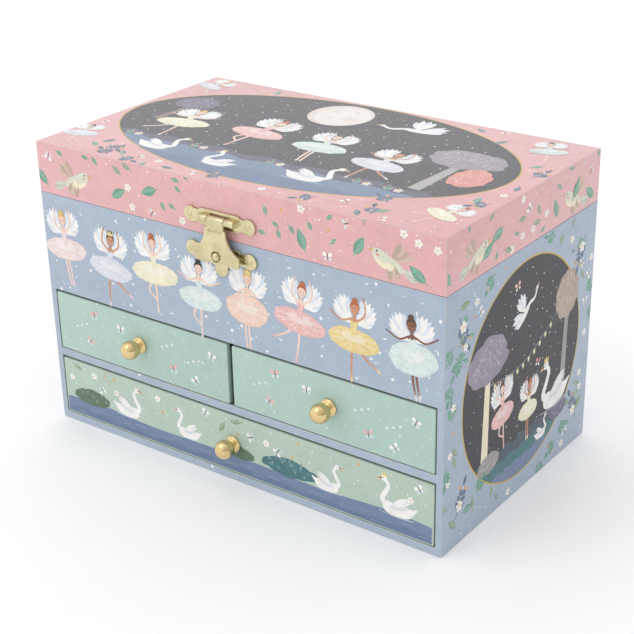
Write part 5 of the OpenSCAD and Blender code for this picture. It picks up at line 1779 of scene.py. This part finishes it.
def net(name, colour):
    """Stiff net: crossed threads, with gaps that let some of what lies behind show."""
    material, w, shader = new_material(name, Roughness=0.6, Sheen_Weight=0.5)
    here = w.place()
    threads = []
    for way, turn in (("X", 0.6), ("Z", 0.6)):
        leaned = w.node("Mapping", {"Vector": here, "Rotation": (0, turn, 0)}).outputs[0]
        band = w.node("TexWave", {"Vector": leaned, "Scale": 330.0}, wave_type="BANDS", bands_direction=way)
        threads.append(band.outputs["Fac"])
    thread = w.maths("MAXIMUM", *threads)
    w.feed(shader, "Alpha", w.ranged(thread, 0.55, 0.85, 0.4, 1.0))
    light = tuple(min(1, 1.12 * c) for c in colour)
    w.feed(shader, "Base Color", w.mix(thread, (*colour, 1), (*light, 1)))
    bump(w, shader, thread, 0.00004)
    return material


def skinned(name, chains, smooth_levels=2):
    """A soft body round chains of (x, y, z, radius) joints in mm, merged where they share a first point."""
    places, edges, radii, known = [], [], [], {}
    for chain in chains:
        last = None
        for x, y, z, r in chain:
            key = (round(x, 2), round(y, 2), round(z, 2))
            if key not in known:
                known[key] = len(places)
                places.append((x * MM, y * MM, z * MM))
                radii.append(r * MM)
            if last is not None and last != known[key]:
                edges.append((last, known[key]))
            last = known[key]
    mesh = bpy.data.meshes.new(name)
    mesh.from_pydata(places, edges, [])
    obj = select_only(linked(name, mesh))
    made = obj.modifiers.new("Skin", "SKIN")
    made.use_smooth_shade = True
    for point, r in zip(obj.data.skin_vertices[0].data, radii):
        point.radius = (r, r)
    obj.data.skin_vertices[0].data[0].use_root = True
    bpy.ops.object.modifier_apply(modifier=made.name)
    apply_modifier(obj, "SUBSURF", levels=smooth_levels, render_levels=smooth_levels)
    return obj


def stood(obj):
    """Lays an upright figure, with its foot at the origin, where the folded dancer is."""
    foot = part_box("dancer_figure")[1].y - PEG
    obj.data.transform(Matrix.Translation((0, foot, SPRING_HEAD.z)) @ Matrix.Rotation(pi / 2, 4, "X"))
    return obj


class BALLEBOX_OT_dancer(bpy.types.Operator):
    """The painted dancer: body, hair, bodice, shoes and face"""
    bl_idname = "ballebox.dancer"
    bl_label = "Dancer"

    def execute(self, context):
        look = settings().dancer
        skin = enamel("doll_skin", look.skin)
        chains = [[(0, 0, 21.4, 2.05), (0, 0, 24.8, 1.5), (0, -0.15, 28.4, 1.9), (0, -0.1, 31.2, 1.85),
                (0, 0.1, 33.4, 0.95), (0, 0.1, 36.8, 0.85), (0, 0, 38.6, 1.2)]]
        for s in (-1, 1):
            chains.append([(0, 0, 21.4, 2.05), (s * 1.25, 0, 19.4, 1.55), (s * 1.2, -0.1, 16, 1.3),
                    (s * 1.0, -0.1, 11.6, 0.85), (s * 0.95, 0.35, 8.4, 1.0), (s * 0.6, 0.1, 3.6, 0.55),
                    (s * 0.5, -0.15, 1.6, 0.6), (s * 0.42, 0, 0.1, 0.42)])
            chains.append([(0, -0.1, 31.2, 1.85), (s * 2.5, 0.1, 31.9, 1.0), (s * 3.9, 0, 34.2, 0.78),
                    (s * 6.3, -0.3, 40.4, 0.62), (s * 5.4, -0.7, 45.2, 0.6), (s * 3.5, -1.0, 50.2, 0.42),
                    (s * 2.5, -1.1, 52.4, 0.5), (s * 1.5, -1.1, 54.6, 0.3)])
        body = skinned("dancer_body", chains)
        head = fresh(bpy.ops.mesh.primitive_uv_sphere_add, segments=32, ring_count=24, radius=HEAD_R,
                location=(0, HEAD_Y, HEAD_Z))
        for vertex in head.data.vertices:
            x, y, z = vertex.co
            below, narrow, deep = self.chin(z)
            vertex.co = (x * 0.9 * narrow, (y - HEAD_Y) * deep + HEAD_Y, z - 0.3 * MM * below)
            if y < 0:  # a small nose, and shallow hollows for the eyes
                vertex.co.y -= 0.42 * MM * exp(-(x / (0.35 * MM)) ** 2 - ((z - 39.9 * MM) / (0.55 * MM)) ** 2)
                for s in (-1, 1):
                    vertex.co.y += 0.16 * MM * exp(
                        -((x - s * 1.1 * MM) / (0.6 * MM)) ** 2 - ((z - 40.7 * MM) / (0.45 * MM)) ** 2)
        body = joined("dancer_body", body, head)
        apply_modifier(body, "REMESH", mode="VOXEL", voxel_size=0.22 * MM)
        apply_modifier(body, "SMOOTH", factor=0.5, iterations=6)
        parts = [(body, skin)]

        hair = enamel("doll_hair", look.hair, 0.4, 0.35)
        cap = fresh(bpy.ops.mesh.primitive_uv_sphere_add, segments=48, ring_count=32, radius=3.5 * MM,
                location=(0, 0.12 * MM, 40.95 * MM))
        cap.data.transform(Matrix.Diagonal((0.93, 1, 1, 1)))
        for vertex in cap.data.vertices:  # combed strands that run to the bun
            angle = atan2(vertex.co.x, vertex.co.y - 0.9 * MM)
            vertex.co.x *= 1 + 0.012 * sin(34 * angle)
        bpy.ops.object.mode_set(mode="EDIT")
        bpy.ops.mesh.select_all(action="SELECT")
        bpy.ops.mesh.bisect(plane_co=(0, -1.9 * MM, 42.4 * MM), plane_no=(0, -0.82, -0.55), use_fill=True,
                clear_outer=True)
        bpy.ops.mesh.select_all(action="SELECT")
        bpy.ops.mesh.bisect(plane_co=(0, 1.0 * MM, 38.9 * MM), plane_no=(0, -0.25, -1), use_fill=True,
                clear_outer=True)
        bpy.ops.object.mode_set(mode="OBJECT")
        bun = fresh(bpy.ops.mesh.primitive_uv_sphere_add, segments=40, ring_count=20, radius=1.75 * MM)
        for vertex in bun.data.vertices:
            x, y, z = vertex.co
            angle = atan2(y, x)
            coil = 1 + 0.05 * sin(3 * angle + z / (0.22 * MM))
            vertex.co = (x * coil, y * coil, z * 0.78)
        bun.data.transform(Matrix.Translation(Vector((0, 1.5, 44.6)) * MM) @ Matrix.Rotation(-0.5, 4, "X"))
        band_line = [(1.5 * cos(TURN * k / 28), 1.5 * sin(TURN * k / 28), 0) for k in range(29)]
        tie_turn = Matrix.Translation(Vector((0, 1.15, 43.75))) @ Matrix.Rotation(-0.5, 4, "X")
        tie = tube("hair_tie", [tie_turn @ Vector(p) * MM for p in band_line], 0.28 * MM, 8)
        parts += [(joined("dancer_hair", cap, bun), hair)]

        cloth = satin("dancer_satin", look.satin)
        bodice = turned("dancer_bodice", [
            (2.3, 20.6), (2.45, 21.2), (2.3, 22.4), (1.95, 24.0), (1.86, 25.0), (2.0, 26.4), (2.28, 28.2),
            (2.42, 29.8), (2.4, 30.9), (2.2, 31.35), (1.6, 31.2)], 40)
        for vertex in bodice.data.vertices:
            x, y, z = vertex.co
            if z > 30.5 * MM:  # a sweetheart top edge, lower in the middle and at the back
                z -= 0.7 * MM * exp(-(x / (0.7 * MM)) ** 2) + (0.5 * MM if y > 0 else 0)
            vertex.co = (x * 1.14, y * 0.94 - 0.1 * MM, z)
        ribs = [tube("rib", in_mm((s * 1.0, -2.05, 21.6), (s * 0.75, -1.86, 25), (s * 1.15, -2.12, 28.4),
                (s * 1.3, -2.05, 30.4)), 0.1 * MM, 6) for s in (-1, 1)]
        straps = [tube("strap", in_mm((s * 1.7, -1.75, 30.6), (s * 2.3, -0.9, 32.7), (s * 2.3, 0.5, 32.9),
                (s * 1.6, 1.9, 30.6)), 0.2 * MM, 6) for s in (-1, 1)]
        shoes = []
        for s in (-1, 1):
            shoe = turned("shoe", [(0.3, -0.3), (0.62, -0.2), (0.76, 0.5), (0.84, 1.4), (0.8, 2.3),
                    (0.72, 2.75),
                    (0.55, 2.8)], 20)
            shoe.data.transform(Matrix.Translation(Vector((s * 0.5, -0.05, 0)) * MM))
            shoes.append(shoe)
            for lean in (-0.4, 0.4):
                ring = [Vector((s * 0.62 + 0.74 * cos(TURN * k / 16), 0.1 + 0.74 * sin(TURN * k / 16),
                        4.0 + lean * cos(TURN * k / 16))) * MM for k in range(17)]
                shoes.append(tube("ribbon", ring, 0.12 * MM, 6))
        dress_body = joined("dancer_bodice", bodice, *ribs, *straps, tie)
        parts += [(dress_body, cloth), (joined("dancer_shoes", *shoes), cloth)]

        ink = enamel("face_ink", (0.11, 0.07, 0.06), 0.3)
        lines = []
        for s in (-1, 1):
            lines.append(tube("eyelid", [self.on_face(s * (1.1 + 0.5 * t) * MM, (40.55 + 0.12 * t * t) * MM)
                    for t in (-1, -0.5, 0, 0.5, 1)], [0.03 * MM, 0.06 * MM, 0.07 * MM, 0.06 * MM, 0.04 * MM],
                    6))
            lines.append(tube("brow", [self.on_face(s * (1.15 + 0.5 * t) * MM, (41.5 - 0.15 * t * t) * MM)
                    for t in (-1, 0, 1)], 0.045 * MM, 6))
        parts.append((joined("dancer_eyes", *lines), ink))
        lips = tube("dancer_lips", [self.on_face(0.45 * t * MM, (38.95 + 0.06 * t * t) * MM)
                for t in (-1, -0.5, 0, 0.5, 1)],
                [0.04 * MM, 0.11 * MM, 0.1 * MM, 0.11 * MM, 0.04 * MM], 6)
        parts.append((lips, enamel("lip_ink", (0.60, 0.16, 0.16), 0.3)))
        for piece, material in parts:
            smooth(stood(piece), 60)
            place(dress(piece, material), "dancer", "doll", ["dancer_figure"])
        peg = turned("dancer_peg", [(0.95, -1.0), (1.0, -0.9), (1.0, 0.2), (0.85, 0.35)], 24)
        place(dress(smooth(stood(peg)), metals()["gold"]), "dancer", "doll")
        return {"FINISHED"}

    def chin(self, z):
        """How far a height is below the middle of the head, and how narrow and shallow the head is there."""
        below = max(0.0, (HEAD_Z - z) / HEAD_R)
        return below, 1 - 0.34 * below ** 1.6, 0.98 - 0.12 * below ** 2

    def on_face(self, x, z):
        """A point just proud of the front of the head."""
        _, narrow, shallow = self.chin(z)
        wide = 0.9 * narrow
        deep = HEAD_R * sqrt(max(0.0, 1 - (x / (HEAD_R * wide)) ** 2 - ((z - HEAD_Z) / HEAD_R) ** 2))
        return (x, HEAD_Y - deep * shallow - 0.02 * MM, z)


class BALLEBOX_OT_tutu(bpy.types.Operator):
    """Five frilled layers of stiff net round the dancer's waist"""
    bl_idname = "ballebox.tutu"
    bl_label = "Tutu"

    def execute(self, context):
        look = settings().dancer
        low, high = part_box("dancer_tutu")
        widest = (high.x - low.x) / 2 / MM - 0.15
        inner = 2.15  # the radius of the waist, in mm
        around, out = 176, 9
        for layer in range(look.tutu_layers):
            outer = widest - 0.75 * layer
            waves = 22 + 3 * layer
            lift = 21.4 - 0.42 * layer
            droop = 1.3 + 0.35 * layer
            verts, faces = [], []
            for j in range(out + 1):
                share = j / out
                radius = inner + (outer - inner) * share
                for i in range(around):
                    angle = TURN * i / around
                    frill = 0.42 * share ** 1.4 * sin(waves * angle + layer)
                    frill += 0.14 * share * sin((waves * 2 + 3) * angle + 2 * layer)
                    rim = 1 - 0.012 * share * (1 + cos(waves * angle + layer))
                    verts.append((radius * rim * cos(angle) * MM, radius * rim * sin(angle) * MM,
                            (lift - droop * share ** 1.3 + frill) * MM))
            for j in range(out):
                for i in range(around):
                    k = (i + 1) % around
                    faces.append((j * around + i, (j + 1) * around + i, (j + 1) * around + k, j * around + k))
            mesh = bpy.data.meshes.new(f"tutu_layer_{layer + 1}")
            mesh.from_pydata(verts, [], faces)
            sheet = linked(mesh.name, mesh)
            apply_modifier(sheet, "SOLIDIFY", thickness=0.05 * MM, offset=0)
            smooth(stood(sheet), 60)
            # Each lower layer is 3 percent darker than the one above it: painted shade for the net that lies
            # under the upper layers.
            tone = 1 - 0.03 * layer
            material = net(f"tutu_net_{layer + 1}", tuple(c * tone for c in look.net))
            place(dress(sheet, material), "dancer", "tutu", ["dancer_tutu"])
        return {"FINISHED"}


# Frame nodes that stay

class BALLEBOX_OT_frame_finishes(bpy.types.Operator):
    """Finishes for the frame's own parts that show"""
    bl_idname = "ballebox.frame_finishes"
    bl_label = "Frame finishes"

    def execute(self, context):
        sheets, finish = papers(), metals()
        glass, w, shader = new_material("mirror_silver", Metallic=1.0, Base_Color=(0.93, 0.95, 0.95, 1))
        haze = w.noise(w.place(), 60.0, 3.0).outputs["Fac"]
        w.feed(shader, "Roughness", w.ranged(haze, 0.4, 0.8, 0.015, 0.05))
        finishes = (
            (finish["steel"], ["mainspring"]),
            (sheets["lining"], ["drawer_divider", "left_drawer_tray", "right_drawer_tray",
                    "bottom_drawer_tray"]),
            (sheets["pink"], ["mirror_frame"]),
            (glass, ["lid_mirror"]),
        )
        given = [name for _, names in finishes for name in names]
        for material, names in finishes:
            for name in names:
                dress(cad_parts[name], material)
        bare = sorted(n for n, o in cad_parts.items() if not o.hide_render and n not in given
                and (not o.data.materials or o.data.materials[0].name not in MADE))
        if bare:
            raise RuntimeError(f"frame nodes with no finish: {bare}")
        return {"FINISHED"}


# Add-on

def part_of(name, description, group):
    return bpy.props.PointerProperty(name=name, description=description, type=group)


class BalleboxSettings(bpy.types.PropertyGroup):
    """All the settings of the jewellery box"""
    papers: part_of("Papers", "Papers over the boards", BalleboxPapers)
    brass: part_of("Brass", "Clasp, hinges and knobs", BalleboxBrass)
    soft: part_of("Soft", "Velvet linings and ring rolls", BalleboxSoft)
    dancer: part_of("Dancer", "The dancer and her spring", BalleboxDancer)
    stage: part_of("Stage", "Floor, lights and camera", BalleboxStage)


OPERATORS = (
    BALLEBOX_OT_stage,
    BALLEBOX_OT_case,
    BALLEBOX_OT_lid,
    BALLEBOX_OT_drawers,
    BALLEBOX_OT_pictures,
    BALLEBOX_OT_brassware,
    BALLEBOX_OT_knobs,
    BALLEBOX_OT_linings,
    BALLEBOX_OT_ring_rolls,
    BALLEBOX_OT_spring,
    BALLEBOX_OT_dancer,
    BALLEBOX_OT_tutu,
    BALLEBOX_OT_frame_finishes,
)


class BALLEBOX_PT_panel(bpy.types.Panel):
    """Settings and steps of the jewellery box"""
    bl_idname = "BALLEBOX_PT_panel"
    bl_label = "Jewellery Box"
    bl_space_type = "VIEW_3D"
    bl_region_type = "UI"
    bl_category = "Jewellery Box"

    def draw(self, context):
        look = settings()
        for group in (look.papers, look.brass, look.soft, look.dancer, look.stage):
            box = self.layout.box()
            for key in group.bl_rna.properties.keys():
                if key not in ("rna_type", "name"):
                    box.prop(group, key)
        for operator in OPERATORS:
            self.layout.operator(operator.bl_idname)


CLASSES = (BalleboxPapers, BalleboxBrass, BalleboxSoft, BalleboxDancer, BalleboxStage, BalleboxSettings,
        *OPERATORS, BALLEBOX_PT_panel)


def register():
    for one in CLASSES:
        bpy.utils.register_class(one)
    bpy.types.Scene.ballebox = bpy.props.PointerProperty(
        name="Jewellery box", description="Settings of the jewellery box", type=BalleboxSettings)


def unregister():
    del bpy.types.Scene.ballebox
    for one in reversed(CLASSES):
        bpy.utils.unregister_class(one)


def main():
    register()
    deselect_all()
    for operator in OPERATORS:
        group, name = operator.bl_idname.split(".")
        getattr(getattr(bpy.ops, group), name)()
    deselect_all()


if __name__ == "__main__":
    main()
